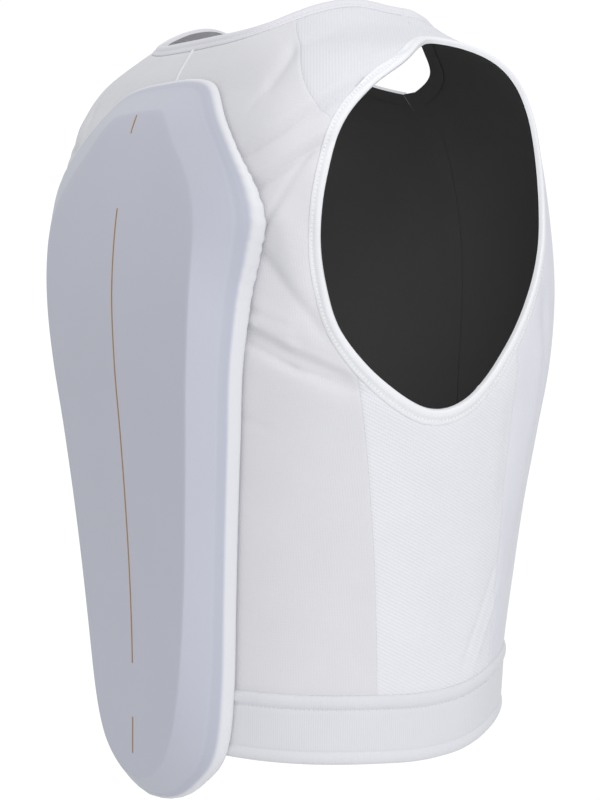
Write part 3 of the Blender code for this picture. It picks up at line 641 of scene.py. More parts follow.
def panel(name, top, bottom, first, last, side, face, inside, rib_turn=None):
    """A cloth panel between four seams. Its pattern lies upright on the body, or across a level
    line rib_turn degrees behind the side."""
    across = np.linspace(0.0, 1.0, len(top))[None, :, None]
    down = np.linspace(0.0, 1.0, len(first))[:, None, None]
    grid = ((1 - down) * top[None] + down * bottom[None]
            + (1 - across) * first[:, None] + across * last[:, None]
            - (1 - across) * (1 - down) * top[0] - across * (1 - down) * top[-1]
            - (1 - across) * down * bottom[0] - across * down * bottom[-1])
    angle = grid[..., 0] * side
    z = grid[..., 1]
    rows, columns = angle.shape
    row = np.minimum(np.arange(rows), np.arange(rows)[::-1])
    column = np.minimum(np.arange(columns), np.arange(columns)[::-1])
    ring = np.minimum(row[:, None], column[None, :])
    sunk = np.interp(ring, range(len(SEAM_SINK) + 1), SEAM_SINK + (0.0,))
    outer = torso(angle, z, -sunk)
    normal = outward(angle, z)
    for edge, within in (((0, slice(None)), (1, slice(None))),
                         ((-1, slice(None)), (-2, slice(None))),
                         ((slice(None), 0), (slice(None), 1)),
                         ((slice(None), -1), (slice(None), -2))):
        run = np.gradient(outer[edge], axis=0)
        step = np.cross(normal[edge], run)
        step /= np.linalg.norm(step, axis=1, keepdims=True)
        step *= np.sign((step * (outer[within] - outer[edge])).sum(1))[:, None]
        outer[edge] += step * SEAM_GAP / 2
    if rib_turn is None:
        u, v = around_body(angle, z), z
    else:
        lean_in, lean_back = math.cos(math.radians(rib_turn)), math.sin(math.radians(rib_turn))
        u = outer[..., 0] * side * lean_in - outer[..., 1] * lean_back
        v = outer[..., 0] * side * lean_back + outer[..., 1] * lean_in - z
    index = np.arange(rows * columns).reshape(rows, columns)
    quads = np.stack([index[:-1, :-1], index[:-1, 1:], index[1:, 1:], index[1:, :-1]],
                     axis=-1).reshape(-1, 4)
    rim = np.concatenate([index[0, :], index[1:, -1], index[-1, -2::-1], index[-2:0:-1, 0]])
    under = rows * columns
    ahead = np.roll(rim, -1)
    edge = np.stack([ahead, rim, rim + under, ahead + under], axis=-1)
    faces = np.vstack([quads, edge, quads[:, ::-1] + under])
    flat = np.stack([u, v], axis=-1).reshape(-1, 2)
    places = np.vstack([flat, flat])[faces.ravel()]
    points = np.vstack([outer.reshape(-1, 3), (outer - normal * CLOTH).reshape(-1, 3)])
    item = closed_mesh(name, points, faces, places, [face, inside], inner=len(quads))
    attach(item, "root")
    return item


# Wales run up the knit and courses across it.
WALE_PITCH = 0.0015
COURSE_PITCH = 0.0012
YARN_GRAIN = 0.0011


def plain_knit(name, colour, shade):
    """Two-way stretch knit of polyamide and elastane, circular knitted and left matt: a
    smooth white with faint upright wales. Real wales are 0.6 mm apart; these are 1.5 mm."""
    made = finish(name, colour, shade, roughness=0.82, sheen=0.25)
    tree = made.node_tree
    wales = both(tree, wave(tree, WALE_PITCH, 0.0), wave(tree, COURSE_PITCH, 90.0))
    weave(made, both(tree, wales, grain(tree, YARN_GRAIN), "ADD"), depth=0.00005, dark=0.03)
    return made


# The back's knit is a warm white. The front's copy of it is painted cooler, as painted shade.
stretch_knit = plain_knit("stretch_knit_white", "#DBDBDE", "#D5D5D9")

# The inner side is brushed and painted dark: painted shade that stands for the dark inside of the
# vest, and soaks up the light there.
LINING_NAP = 0.0016
shade_lining = finish("brushed_lining_painted_shade", "#4E4E4E", "#525252", roughness=0.95, sheen=0.0)
weave(shade_lining, grain(shade_lining.node_tree, LINING_NAP), depth=0.00010, dark=0.10)

back_edge = np.vstack([YOKE_BACK_SEAM, ARM_SEAM[1:ARM_SIDE_FROM], SIDE_BACK_SEAM])


def both_sides(line):
    """A line from the middle of the back run on both sides, from the left zip edge."""
    return np.vstack([line[:0:-1] * [-1.0, 1.0], line])


back_cloth = panel("back_panel_cloth", both_sides(NECK_SEAM[:YOKE_FROM + 1]),
                   both_sides(HEM_BACK), back_edge * [-1.0, 1.0], back_edge, 1,
                   stretch_knit, shade_lining)
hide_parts("back_panel")

# Shoulder yokes: ribbed open knit over each shoulder, from the neck to the armhole, which
# lets the shoulder breathe. Each is sewn in between the back and the front.
SIDES = (("right", -1), ("left", 1))
RIB_PITCH = 0.0017
RIB_STEP = 0.0016          # the fine step along each rib
RIB_TURN = 54.4            # the ribs cross this level line, in degrees behind the side

# Warp-knitted rib mesh in polyester: cool white, with ribs that run over the shoulder.
rib_mesh = finish("rib_mesh_white", "#DCDDE2", "#D7D8DE", roughness=0.85, sheen=0.2)
tree = rib_mesh.node_tree
ribs = wave(tree, RIB_PITCH, 0.0)
steps = both(tree, wave(tree, RIB_STEP, 90.0), 0.35)
weave(rib_mesh, both(tree, ribs, steps, "ADD"), depth=0.00008, dark=0.05)

yoke_neck = NECK_SEAM[YOKE_FROM:YOKE_TO + 1]
yoke_arm = np.vstack([ARM_SEAM[ARM_YOKE_FROM:], ARM_SEAM[:1]])[::-1]
for word, side in SIDES:
    yoke = panel("shoulder_yoke_cloth_" + word, yoke_neck, yoke_arm, YOKE_BACK_SEAM,
                 YOKE_FRONT_SEAM, side, rib_mesh, shade_lining, RIB_TURN)
    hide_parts("shoulder_yoke_" + word)

# Side panels: a stretch mesh under each arm, from the armhole down to the waistband, with
# a slanting twill line and fine holes. Flat-seamed to the back and to the front.
TWILL_PITCH = 0.0020
TWILL_SLOPE = 29.0
HOLE_PITCH = TWILL_PITCH * 0.7
HOLE_SLOPE = 14.0
side_arm = ARM_SEAM[ARM_SIDE_FROM:ARM_FRONT_FROM + 1]

for word, side in SIDES:
    # Twill mesh in polyester: cool white. Its lines fall towards the front on each side,
    # so each side has its own slant. Real lines are 1.4 mm apart; these are 2.0 mm.
    twill_mesh = finish("twill_mesh_white_" + word, "#E5E6EA", "#DFE0E5", roughness=0.85, sheen=0.2)
    tree = twill_mesh.node_tree
    lines = wave(tree, TWILL_PITCH, 90.0 - side * TWILL_SLOPE)
    holes = wave(tree, HOLE_PITCH, -side * HOLE_SLOPE)
    dotted = both(tree, lines, both(tree, holes, 0.7, "ADD"))
    weave(twill_mesh, dotted, depth=0.00008, dark=0.055)
    side_cloth = panel("side_panel_cloth_" + word, side_arm, HEM_SIDE, SIDE_BACK_SEAM,
                       SIDE_FRONT_SEAM, side, twill_mesh, shade_lining)
    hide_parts("side_panel_" + word)

# Front panels: two halves of the same smooth stretch knit as the back, which follow the
# chest. Each is sewn to its yoke, its side panel, the waistband and the zip's tape.
front_neck = NECK_SEAM[YOKE_TO:]
front_arm = ARM_SEAM[ARM_FRONT_FROM:ARM_YOKE_FROM + 1][::-1]
front_edge = np.vstack([YOKE_FRONT_SEAM, front_arm[1:-1], SIDE_FRONT_SEAM])
share = np.linspace(0.0, 1.0, len(front_edge))
zip_z = front_neck[-1, 1] * (1 - share) + HEM_FRONT[-1, 1] * share
front_middle = np.stack([zip_angle(zip_z), zip_z], axis=1)
# The front's knit is the back's knit painted a cooler, bluer white: painted shade for the bluish
# shade on the front.
front_knit_shaded = plain_knit("stretch_knit_cool_painted_shade", "#DDDEE5", "#D8D9E1")
for word, side in SIDES:
    front_cloth = panel("front_panel_cloth_" + word, front_neck, HEM_FRONT, front_edge,
                        front_middle, side, front_knit_shaded, shade_lining)
    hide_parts("front_panel_" + word)

# Bindings: a soft bias tape folded over the cut edge of the neck and of each armhole and
# caught down, so that it stands up as a rounded bright edge.
BINDING_THICKNESS = 0.0027
# Its section: how far it is from the free edge (0) to the seam (1), and how far it lifts off
# the cloth, as a share of its thickness. The same goes for its turning behind the cloth.
BINDING_ROUND = (
    (0.00, -0.10),
    (0.03, 0.22),
    (0.12, 0.42),
    (0.28, 0.50),
    (0.45, 0.45),
    (0.60, 0.24),
    (0.68, 0.17),
    (0.80, 0.20),
    (0.92, 0.12),
    (1.00, 0.01),
)
TAPE_INSIDE = ((1.00, -0.60), (1.22, -0.62), (1.22, -0.74), (0.00, -0.70))
TAPE_RIB_PITCH = 0.0010
GIRTH_SCALE = 0.01         # metres of pattern for one width of tape
NECK_FACED_TO = 112.0      # as far round as this the neck tape's inner side is tape as well


def cross_ribbed(name, colour, shade):
    """Soft-touch polyamide binding, woven with a fine cross rib."""
    made = finish(name, colour, shade, roughness=0.75, sheen=0.3)
    weave(made, wave(made.node_tree, TAPE_RIB_PITCH, 0.0), depth=0.00004, dark=0.03)
    return made


# The armholes' tape is the brightest white of the cloths. The neck's is the same tape painted a
# shade greyer: painted shade.
binding_tape = cross_ribbed("bias_binding_white", "#EBECEF", "#E6E7EB")
binding_painted_shade = cross_ribbed("bias_binding_neck_painted_shade", "#DCDCE1", "#D7D7DD")


def wrapped(count, around, closed, lined, spot):
    """The faces round a run of count sections of around points, the UV pair of each of their
    corners, as spot gives it, and the number of faces that lined picks, which come last."""
    shown, inner = ([], []), ([], [])
    for i in range(count if closed else count - 1):
        j = (i + 1) % count
        for k in range(around):
            m = (k + 1) % around
            faces, places = inner if lined(i, k) else shown
            faces.append((i * around + k, i * around + m, j * around + m, j * around + k))
            places += [spot(i, k), spot(i, k + 1), spot(i + 1, k + 1), spot(i + 1, k)]
    if not closed:
        last = (count - 1) * around
        shown[0].extend([tuple(range(around))[::-1], tuple(range(last, last + around))])
        shown[1].extend([(0.0, 0.0)] * around * 2)
    return shown[0] + inner[0], shown[1] + inner[1], len(inner[0])


def tape(name, line_at, profile, thickness, side, closed, face, faced_to=0.0):
    """A rounded tape along the cloth. line_at gives its line at a share of its width. Its
    turning lies behind the panel, and its inner side is faced with the lining, or with the
    tape itself where that shows, as far round as the angle faced_to."""
    shaped = np.vstack([through(profile, steps=3), TAPE_INSIDE])
    lines = [line_at(max(float(share), 0.0)) for share, _ in shaped]
    sections = np.stack([torso(line[:, 0] * side, line[:, 1], lift * thickness)
                         for line, (_, lift) in zip(lines, shaped)], axis=1)
    count, around = sections.shape[:2]
    middle = sections.mean(axis=1)
    if closed:
        middle = np.vstack([middle, middle[:1]])
    far = distances(middle)
    turning = around - len(TAPE_INSIDE)
    over = np.abs(np.diff(shaped[:, 0]))
    girth = np.concatenate([[0.0], np.cumsum(over), [over.sum() + 0.1]]) * GIRTH_SCALE
    faces, places, inner = wrapped(
        count, around, closed,
        lambda i, k: turning <= k < around - 1 and abs(lines[0][i, 0]) >= faced_to,
        lambda i, k: (far[i], girth[k]))
    item = closed_mesh(name, sections.reshape(-1, 3), faces, places, [face, shade_lining], inner)
    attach(item, "root")
    return item


def neck_tape_line(share):
    """The neck tape's line at a share of its width, from the cut edge (0) to the seam (1)."""
    line = neck_line(share * (NECK_BINDING_WIDTH - SEAM_GAP / 2)) if share else NECK_EDGE.copy()
    line[-1, 0] = angle_at_width(ZIP_WIDTH / 2 + SEAM_GAP / 2, line[-1, 1], at_back=False)
    return both_sides(line)


def arm_tape_line(share):
    """The armhole tape's line at a share of its width, from the cut edge (0) to the seam."""
    return walk(ARM_EDGE, share * (ARM_WIDTH - SEAM_GAP / 2), closed=True) if share else ARM_EDGE


neck_tape = tape("neck_binding_tape", neck_tape_line, BINDING_ROUND, BINDING_THICKNESS, 1,
                 False, binding_painted_shade, faced_to=NECK_FACED_TO)
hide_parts("neck_binding")
for word, side in SIDES:
    arm_tape = tape("armhole_binding_tape_" + word, arm_tape_line, BINDING_ROUND,
                    BINDING_THICKNESS, side, True, binding_tape)
    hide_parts("armhole_binding_" + word)

# Waistband: a firm double knit folded into a band 40 mm deep that grips the waist. Its
# lower fold is a soft roll, and its top edge is turned and topstitched to the panels.
BAND_THICKNESS = 0.0032
# Its section, in the same terms as the bindings', from the lower fold (0) to the top edge.
BAND_ROUND = (
    (0.00, -0.20),
    (0.02, 0.25),
    (0.07, 0.46),
    (0.12, 0.44),
    (0.165, 0.24),
    (0.19, 0.14),
    (0.23, 0.20),
    (0.50, 0.26),
    (0.72, 0.24),
    (0.775, 0.16),
    (0.795, 0.08),
    (0.815, 0.26),
    (0.86, 0.50),
    (0.92, 0.54),
    (0.97, 0.38),
    (1.00, 0.00),
)

# Double-knit polyamide and elastane: bluish white with upright ribs, 1.3 mm apart.
BAND_RIB_PITCH = 0.0013
BAND_GRAIN = 0.0012
band_knit = finish("double_knit_band_white", "#D9DADE", "#D4D5DA", roughness=0.80, sheen=0.3)
tree = band_knit.node_tree
band_ribs = both(tree, wave(tree, BAND_RIB_PITCH, 0.0), grain(tree, BAND_GRAIN), "ADD")
weave(band_knit, band_ribs, depth=0.00005, dark=0.03)

band_top = np.vstack([HEM_BACK, HEM_SIDE[1:], HEM_FRONT[1:]])


def band_line(share):
    """The waistband's line from its lower fold (0) up to its top edge (1)."""
    line = band_top.copy()
    line[:, 1] -= SEAM_GAP / 2 + (1 - share) * (BAND_HEIGHT - SEAM_GAP / 2)
    line[-1, 0] = angle_at_width(ZIP_WIDTH / 2 + SEAM_GAP / 2, line[-1, 1], at_back=False)
    return both_sides(line)


hem_cloth = tape("hem_band_cloth", band_line, BAND_ROUND, BAND_THICKNESS, 1, False, band_knit)
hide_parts("hem_band")

# Stitching: spun polyester thread in white. Short cross bars of coverstitch hold the
# armhole bindings, and lockstitch runs along the neck binding and the waistband.
BAR_PITCH = 0.0023
BAR_SIZE = (0.0006, 0.0021, 0.0005)
LOCK_PITCH = 0.0026
LOCK_SIZE = (0.0019, 0.0006, 0.0006)
# Where each row lies on its tape, and how high, as shares of the tape's width and thickness.
ARM_ROW, ARM_ROW_LIFT = 0.66, 0.19
NECK_ROW, NECK_ROW_LIFT = 0.66, 0.17
BAND_ROW, BAND_ROW_LIFT = 0.795, 0.10
THREAD_TWIST = 0.0004

thread = finish("spun_polyester_thread_white", "#E8E9ED", "#E0E1E6", roughness=0.6,
                sheen=0.2, mottle=0.004)
weave(thread, grain(thread.node_tree, THREAD_TWIST), depth=0.00004, dark=0.08)


def repeat_tree(name):
    """Geometry nodes that set a small piece at even steps along the edges of a mesh, its
    Z along the stored facing direction and its X along the run."""
    tree = bpy.data.node_groups.new(name, "GeometryNodeTree")
    face = tree.interface
    face.new_socket("Geometry", in_out="INPUT", socket_type="NodeSocketGeometry")
    face.new_socket("Piece", in_out="INPUT", socket_type="NodeSocketObject")
    face.new_socket("Pitch", in_out="INPUT", socket_type="NodeSocketFloat")
    face.new_socket("Finish", in_out="INPUT", socket_type="NodeSocketMaterial")
    face.new_socket("Geometry", in_out="OUTPUT", socket_type="NodeSocketGeometry")
    given = node(tree, "NodeGroupInput")
    run = node(tree, "GeometryNodeMeshToCurve", {"Mesh": given.outputs["Geometry"]})
    even = node(tree, "GeometryNodeResampleCurve", {"Curve": run.outputs[0],
                                                    "Length": given.outputs["Pitch"]},
                mode="LENGTH")
    facing = node(tree, "GeometryNodeInputNamedAttribute", {"Name": "facing"},
                  data_type="FLOAT_VECTOR")
    tangent = node(tree, "GeometryNodeInputTangent")
    upright = node(tree, "FunctionNodeAlignRotationToVector",
                   {"Vector": facing.outputs["Attribute"]}, axis="Z")
    turned = node(tree, "FunctionNodeAlignRotationToVector",
                  {"Rotation": upright.outputs[0], "Vector": tangent.outputs[0]},
                  axis="X", pivot_axis="Z")
    shape = node(tree, "GeometryNodeObjectInfo", {"Object": given.outputs["Piece"]},
                 transform_space="ORIGINAL")
    placed = node(tree, "GeometryNodeInstanceOnPoints",
                  {"Points": even.outputs[0], "Instance": shape.outputs["Geometry"],
                   "Rotation": turned.outputs[0]})
    real = node(tree, "GeometryNodeRealizeInstances", {"Geometry": placed.outputs[0]})
    dyed = node(tree, "GeometryNodeSetMaterial", {"Geometry": real.outputs[0],
                                                  "Material": given.outputs["Finish"]})
    node(tree, "NodeGroupOutput", {"Geometry": dyed.outputs[0]})
    return tree


along_path = repeat_tree("pieces_along_path")


def run_of(name, paths, shape, pitch, made):
    """Small pieces along paths of (points, facing directions, closed), as one mesh."""
    points, edges, facings = [], [], []
    for path, facing, closed in paths:
        start = len(points)
        points += [tuple(p) for p in path]
        facings += [tuple(f) for f in facing]
        count = len(path)
        steps = count if closed else count - 1
        edges += [(start + k, start + (k + 1) % count) for k in range(steps)]
    guide = bpy.data.meshes.new(name + "_guide")
    guide.from_pydata(points, edges, [])
    stored = guide.attributes.new("facing", "FLOAT_VECTOR", "POINT")
    stored.data.foreach_set("vector", np.array(facings, np.float32).ravel())
    holder = put(name + "_guide", guide)
    repeat = holder.modifiers.new("repeat", "NODES")
    repeat.node_group = along_path
    values = {"Piece": shape, "Pitch": pitch, "Finish": made}
    for item in along_path.interface.items_tree:
        if item.in_out == "INPUT" and item.name in values:
            repeat[item.identifier] = values[item.name]
    graph = bpy.context.evaluated_depsgraph_get()
    mesh = bpy.data.meshes.new_from_object(holder.evaluated_get(graph))
    mesh.name = name
    mesh.shade_smooth()
    bpy.data.objects.remove(holder, do_unlink=True)
    bpy.data.meshes.remove(guide)
    item = put(name, mesh)
    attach(item, "root")
    return item


def mesh_of(name, shaped):
    """The mesh of a shape that was made in bmesh."""
    mesh = bpy.data.meshes.new(name)
    shaped.to_mesh(mesh)
    shaped.free()
    return mesh


def bead(name, size):
    """One stitch, as a small rounded bead lying on the cloth."""
    shaped = bmesh.new()
    bmesh.ops.create_icosphere(shaped, subdivisions=1, radius=0.5)
    bmesh.ops.scale(shaped, vec=size, verts=shaped.verts)
    return put(name, mesh_of(name, shaped))


def stitch_path(line, lift, side=1, closed=False):
    """A line of angles and heights as points on the cloth and the way that it faces."""
    angle = line[:, 0] * side
    return torso(angle, line[:, 1], lift), outward(angle, line[:, 1]), closed


cross_bar = bead("cross_bar", BAR_SIZE)
line = walk(ARM_EDGE, ARM_WIDTH * ARM_ROW, closed=True)
for word, side in SIDES:
    bar_row = stitch_path(line, ARM_ROW_LIFT * BINDING_THICKNESS, side, closed=True)
    bars = run_of("armhole_coverstitch_" + word, [bar_row], cross_bar, BAR_PITCH, thread)

lock_stitch = bead("lock_stitch", LOCK_SIZE)
lock_rows = [stitch_path(band_line(BAND_ROW), BAND_ROW_LIFT * BAND_THICKNESS),
             stitch_path(neck_tape_line(NECK_ROW), NECK_ROW_LIFT * BINDING_THICKNESS)]
lockstitch = run_of("band_and_neck_lockstitch", lock_rows, lock_stitch, LOCK_PITCH, thread)
for shape in (cross_bar, lock_stitch):
    bpy.data.objects.remove(shape, do_unlink=True)

# Centre back seam: the piping that joins the two halves of the neck yoke above the pad,
# a narrow turned tape standing a little proud of the cloth.
PAD_DROP = 0.057           # shoulder tops down to the pad's top edge
PIPING_WIDTH = 0.0021
PIPING_RISE = 0.0007
PIPING_ROUND = (
    (0.0, -0.3), (0.12, 0.45), (0.35, 0.95), (0.65, 0.95), (0.88, 0.45), (1.0, -0.3),
)
PIPING_TUCK = 0.012        # how far its lower end runs in under the pad
PIPING_START = 0.0006      # how far its upper end runs in under the neck binding
piping_z = np.linspace(NECK_SEAM[0, 1] + PIPING_START, -PAD_DROP - PIPING_TUCK, 40)


def piping_line(share):
    """The piping's line at a share of its width, beside the middle of the back."""
    x = (share - 0.5) * PIPING_WIDTH
    return np.stack([angle_at_width(x, piping_z, at_back=True), piping_z], axis=1)


# The piping takes the neck tape's greyer copy of the binding, which is painted shade.
piping = tape("centre_back_piping", piping_line, PIPING_ROUND, PIPING_RISE, 1, False,
              binding_painted_shade)

# Front zip: a moulded plastic zip on woven tape, closed from the neck to the waistband,
# with a slider and its pull at the top. Sewn between the two front panels.
ZIP_THICKNESS = 0.0030
TOOTH_PITCH = 0.0030
TOOTH_SIZE = (0.0017, 0.0030, 0.0015)
TOOTH_BEVEL = 0.0003
TOOTH_ASIDE = 0.0012       # middle of the zip out to the middle of each row of teeth
TOOTH_LIFT = 0.42          # height of the rows, as a share of the zip's thickness
TEETH_STOP = 0.004         # the zip's lower end up to the last tooth
SLIDER_DROP = 0.012        # the zip's top down to the middle of the slider
ZIP_RIB_PITCH = 0.0009
RESIN_GRAIN = 0.0006

# Woven polyester zip tape: cool white with a fine upright rib.
zip_tape = finish("woven_zip_tape_white", "#E6E7EC", "#DEE0E6", roughness=0.8, sheen=0.2)
weave(zip_tape, wave(zip_tape.node_tree, ZIP_RIB_PITCH, 0.0), depth=0.00006, dark=0.06)
# Injection-moulded acetal: pale grey with a soft gloss and a trace of moulding grain.
zip_resin = finish("moulded_acetal_pale_grey", "#DADCE2", "#D4D6DD", roughness=0.38, sheen=0.0)
weave(zip_resin, grain(zip_resin.node_tree, RESIN_GRAIN), depth=0.00001, dark=0.02)

zip_rows = np.linspace(neck_height(180.0), hem_height(180.0), 120)
zip_half = (ZIP_WIDTH - SEAM_GAP) / 2
# Its section: shares of half its width and of its thickness. The last points are those of
# the guard behind it.
ZIP_GUARD = 6
ZIP_SECTION = (
    (-1.0, 0.0), (-0.9, 0.06), (-0.5, 0.10), (-0.42, 0.22), (0.42, 0.22), (0.5, 0.10),
    (0.9, 0.06), (1.0, 0.0), (1.0, -0.57), (1.5, -0.60), (1.5, -0.74), (-1.5, -0.74),
    (-1.5, -0.60), (-1.0, -0.57),
)


def front_point(x, z, lift):
    """A point on the smooth front of the torso, x beside its middle, raised by lift."""
    width, _, front, _, square = section(z)
    y = -front * (1 - (np.abs(x) / width) ** square) ** (1 / square)
    return np.stack([x + 0 * z, y - lift, z], axis=-1)


zip_points = np.stack([front_point(across * zip_half, zip_rows, lift * ZIP_THICKNESS)
                       for across, lift in ZIP_SECTION], axis=1)
count, around = zip_points.shape[:2]
faces, places, guard = wrapped(
    count, around, False, lambda i, k: around - ZIP_GUARD <= k < around - 1,
    lambda i, k: (ZIP_SECTION[k % around][0] * zip_half, zip_rows[i]))
zip_base = closed_mesh("front_zip_tape", zip_points.reshape(-1, 3), faces, places,
                       [zip_tape, shade_lining], guard)
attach(zip_base, "root")
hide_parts("front_zip")

shaped = bmesh.new()
bmesh.ops.create_cube(shaped, size=1.0)
bmesh.ops.scale(shaped, vec=TOOTH_SIZE, verts=shaped.verts)
bmesh.ops.bevel(shaped, geom=shaped.edges[:], offset=TOOTH_BEVEL, segments=1, affect="EDGES")
tooth = put("zip_tooth", mesh_of("zip_tooth", shaped))
tooth_paths = []
for x, shift in ((-TOOTH_ASIDE, 0.0), (TOOTH_ASIDE, TOOTH_PITCH / 2)):
    rows = np.linspace(zip_rows[0] - SLIDER_DROP - shift, zip_rows[-1] + TEETH_STOP, 400)
    path = front_point(x, rows, TOOTH_LIFT * ZIP_THICKNESS)
    tooth_paths.append((path, np.tile([0.0, -1.0, 0.0], (len(path), 1)), False))
teeth = run_of("front_zip_teeth", tooth_paths, tooth, TOOTH_PITCH, zip_resin)
bpy.data.objects.remove(tooth, do_unlink=True)


PLATE_BEVEL = 0.0004
PLATE_SHARP_FROM = 50.0    # edges of a plate that turn by more degrees than this stay sharp


def plate(name, outline, back, front):
    """A moulded plate on the front, from outline points (x, z), edges bevelled. back and
    front: how far its two faces stand off the cloth, which it follows."""
    shaped = bmesh.new()
    ring = [shaped.verts.new((x, 0.0, z)) for x, z in outline]
    base = shaped.faces.new(ring)
    raised = bmesh.ops.extrude_face_region(shaped, geom=[base])
    for vert in [v for v in raised["geom"] if isinstance(v, bmesh.types.BMVert)]:
        vert.co.y = 1.0
    for vert in shaped.verts:
        cloth_y = float(front_point(0.0, np.array(vert.co.z), 0.0)[1])
        vert.co.y = cloth_y - (front if vert.co.y > 0.5 else back)
    bmesh.ops.recalc_face_normals(shaped, faces=shaped.faces)
    mesh = mesh_of(name, shaped)
    mesh.materials.append(zip_resin)
    item = put(name, mesh)
    soft = item.modifiers.new("soft_edge", "BEVEL")
    soft.width = PLATE_BEVEL
    soft.segments = 2
    soft.limit_method = "ANGLE"
    mesh.shade_smooth()
    mesh.set_sharp_from_angle(angle=math.radians(PLATE_SHARP_FROM))
    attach(item, "root")
    return item


# Half widths and half heights of the slider, of the bridge on it and of the pull.
SLIDER = (0.0046, 0.0062)
SLIDER_SHOULDER = 0.0012   # how far its shoulders stand above those of an oval
BRIDGE = (0.0013, 0.0050)
PULL = (0.0030, 0.0135)
PULL_DROP = 0.0150         # the slider's middle down to the pull's middle
# How far the back and the front of each stand off the cloth.
SLIDER_FACES = (0.0009, 0.0036)
BRIDGE_FACES = (0.0034, 0.0052)
PULL_FACES = (0.0046, 0.0062)

slider_z = float(zip_rows[0]) - SLIDER_DROP
turns = np.linspace(0, 2 * math.pi, 28, endpoint=False)
slider_outline = [(SLIDER[0] * math.sin(t),
                   slider_z + SLIDER[1] * math.cos(t) - SLIDER_SHOULDER * math.cos(2 * t))
                  for t in turns]
plate("zip_slider", slider_outline, *SLIDER_FACES)
bridge_outline = [(BRIDGE[0] * math.sin(t), slider_z + BRIDGE[1] * math.cos(t))
                  for t in np.linspace(0, 2 * math.pi, 16, endpoint=False)]
plate("zip_slider_bridge", bridge_outline, *BRIDGE_FACES)
pull_outline = [(PULL[0] * math.sin(t) * (0.8 - 0.25 * math.cos(t)),
                 slider_z - PULL_DROP + PULL[1] * math.cos(t)) for t in turns]
plate("zip_pull", pull_outline, *PULL_FACES)

# Back pad: one block of moulded shock-absorbing foam under laminated cloth, with a flat
# raised middle, a crisp crease round it and long bevelled flanks. Its cloth is gathered
# over the rim at the top, and it is glued and sewn on to the back panel.
PAD_LENGTH = 0.433
PAD_HALF_WIDTH = 0.119
PAD_THICKNESS = 0.0175
PAD_CLEARANCE = 0.0016     # pad's underside above the smooth body line
PAD_STEPS = 170            # facets along each half of a ring

# The pad's outline and the crease round its raised middle, from the top middle to the
# bottom middle: how far across and along the outline is, then the same of the crease, as
# shares of the pad's half width and of its length.
PAD_OUTLINE = (
    (0.000, 0.000, 0.000, 0.044),
    (0.210, 0.001, 0.109, 0.045),
    (0.387, 0.008, 0.235, 0.048),
    (0.504, 0.023, 0.328, 0.065),
    (0.681, 0.065, 0.437, 0.095),
    (0.849, 0.109, 0.563, 0.125),
    (0.966, 0.152, 0.672, 0.159),
    (1.000, 0.199, 0.739, 0.201),
    (0.941, 0.245, 0.752, 0.245),
    (0.866, 0.296, 0.739, 0.296),
    (0.815, 0.358, 0.710, 0.360),
    (0.748, 0.457, 0.651, 0.457),
    (0.668, 0.589, 0.580, 0.589),
    (0.618, 0.711, 0.517, 0.711),
    (0.592, 0.820, 0.450, 0.818),
    (0.571, 0.885, 0.391, 0.880),
    (0.529, 0.924, 0.319, 0.921),
    (0.445, 0.952, 0.235, 0.945),
    (0.319, 0.979, 0.134, 0.961),
    (0.168, 0.994, 0.067, 0.965),
    (0.000, 1.000, 0.000, 0.967),
)

SPINE_TOP = 0.090          # shares of the pad's length
SPINE_BOTTOM = 0.900

# Its section, as the part's rings but finer, from the middle of the underside round the
# rolled rim and over a soft ridge and the crease to the middle of the top. The first value is
# 0 at the rim, 1 at the crease and 2 on the middle line. The second is the height, from the
# vest (0) up to the flat middle (1).
PAD_PROFILE = (
    (1.75, 0.000),
    (1.25, 0.000),
    (1.00, 0.000),
    (0.50, 0.000),
    (0.20, 0.000),
    (0.06, 0.005),
    (0.015, 0.030),
    (0.000, 0.080),
    (-0.004, 0.140),
    (0.010, 0.215),
    (0.035, 0.258),
    (0.075, 0.288),
    (0.110, 0.312),
    (0.150, 0.358),
    (0.185, 0.392),
    (0.240, 0.428),
    (0.280, 0.462),
    (0.305, 0.486),
    (0.335, 0.505),
    (0.40, 0.552),
    (0.53, 0.652),
    (0.70, 0.780),
    (0.84, 0.884),
    (0.93, 0.950),
    (0.975, 0.982),
    (1.000, 0.994),
    (1.03, 1.000),
    (1.10, 1.000),
    (1.50, 1.000),
    (1.85, 1.000),
)
# Puckers where the cloth is gathered over the upper rim, and weaker ones at the lower end.
# Where they are and how far they reach: shares of the pad's length.
UPPER_GATHERS = (0.22, 0.13)
LOWER_GATHERS = (0.975, 0.035)
GATHER_PITCH = 0.0085
LOWER_PITCH = 0.0090
GATHER_DEPTH = 0.00038
LOWER_SHARE = 0.35         # depth of the lower ones, as a share of the upper ones'
GATHER_FADE = 0.10         # share of the way to the crease over which they fade
# Their spacing isn't even: how far it drifts, and how fast along the rim, in radians a metre.
GATHER_DRIFT = (0.8, 140)


def pad_surface(x, z, height):
    """Points of the pad, from its underside on the vest (0) up to its flat middle (1)."""
    angle = angle_at_width(x, z, at_back=True)
    under = smooth_torso(angle, z) + outward(angle, z) * PAD_CLEARANCE
    spine = section(z)[1] + PAD_THICKNESS
    return under + (np.stack([x, spine, z + lean(x, z)], axis=1) - under) * height


outline = through(PAD_OUTLINE)
run = np.hypot(np.diff(outline[:, 0]) * PAD_HALF_WIDTH, np.diff(outline[:, 1]) * PAD_LENGTH)
far = np.concatenate([[0.0], np.cumsum(run)])
at = np.linspace(0.0, far[-1], PAD_STEPS + 1)
half = np.stack([np.interp(at, far, outline[:, k]) for k in range(4)], axis=1)
spine = np.linspace(SPINE_TOP, SPINE_BOTTOM, PAD_STEPS + 1)
upper = np.exp(-((half[:, 1] - UPPER_GATHERS[0]) / UPPER_GATHERS[1]) ** 4)
lower = np.exp(-((half[:, 1] - LOWER_GATHERS[0]) / LOWER_GATHERS[1]) ** 2)
drift = GATHER_DRIFT[0] * np.sin(at * GATHER_DRIFT[1])
gathers = (upper * np.sin(at * 2 * np.pi / GATHER_PITCH + drift)
           + LOWER_SHARE * lower * np.sin(at * 2 * np.pi / LOWER_PITCH))
rings = []
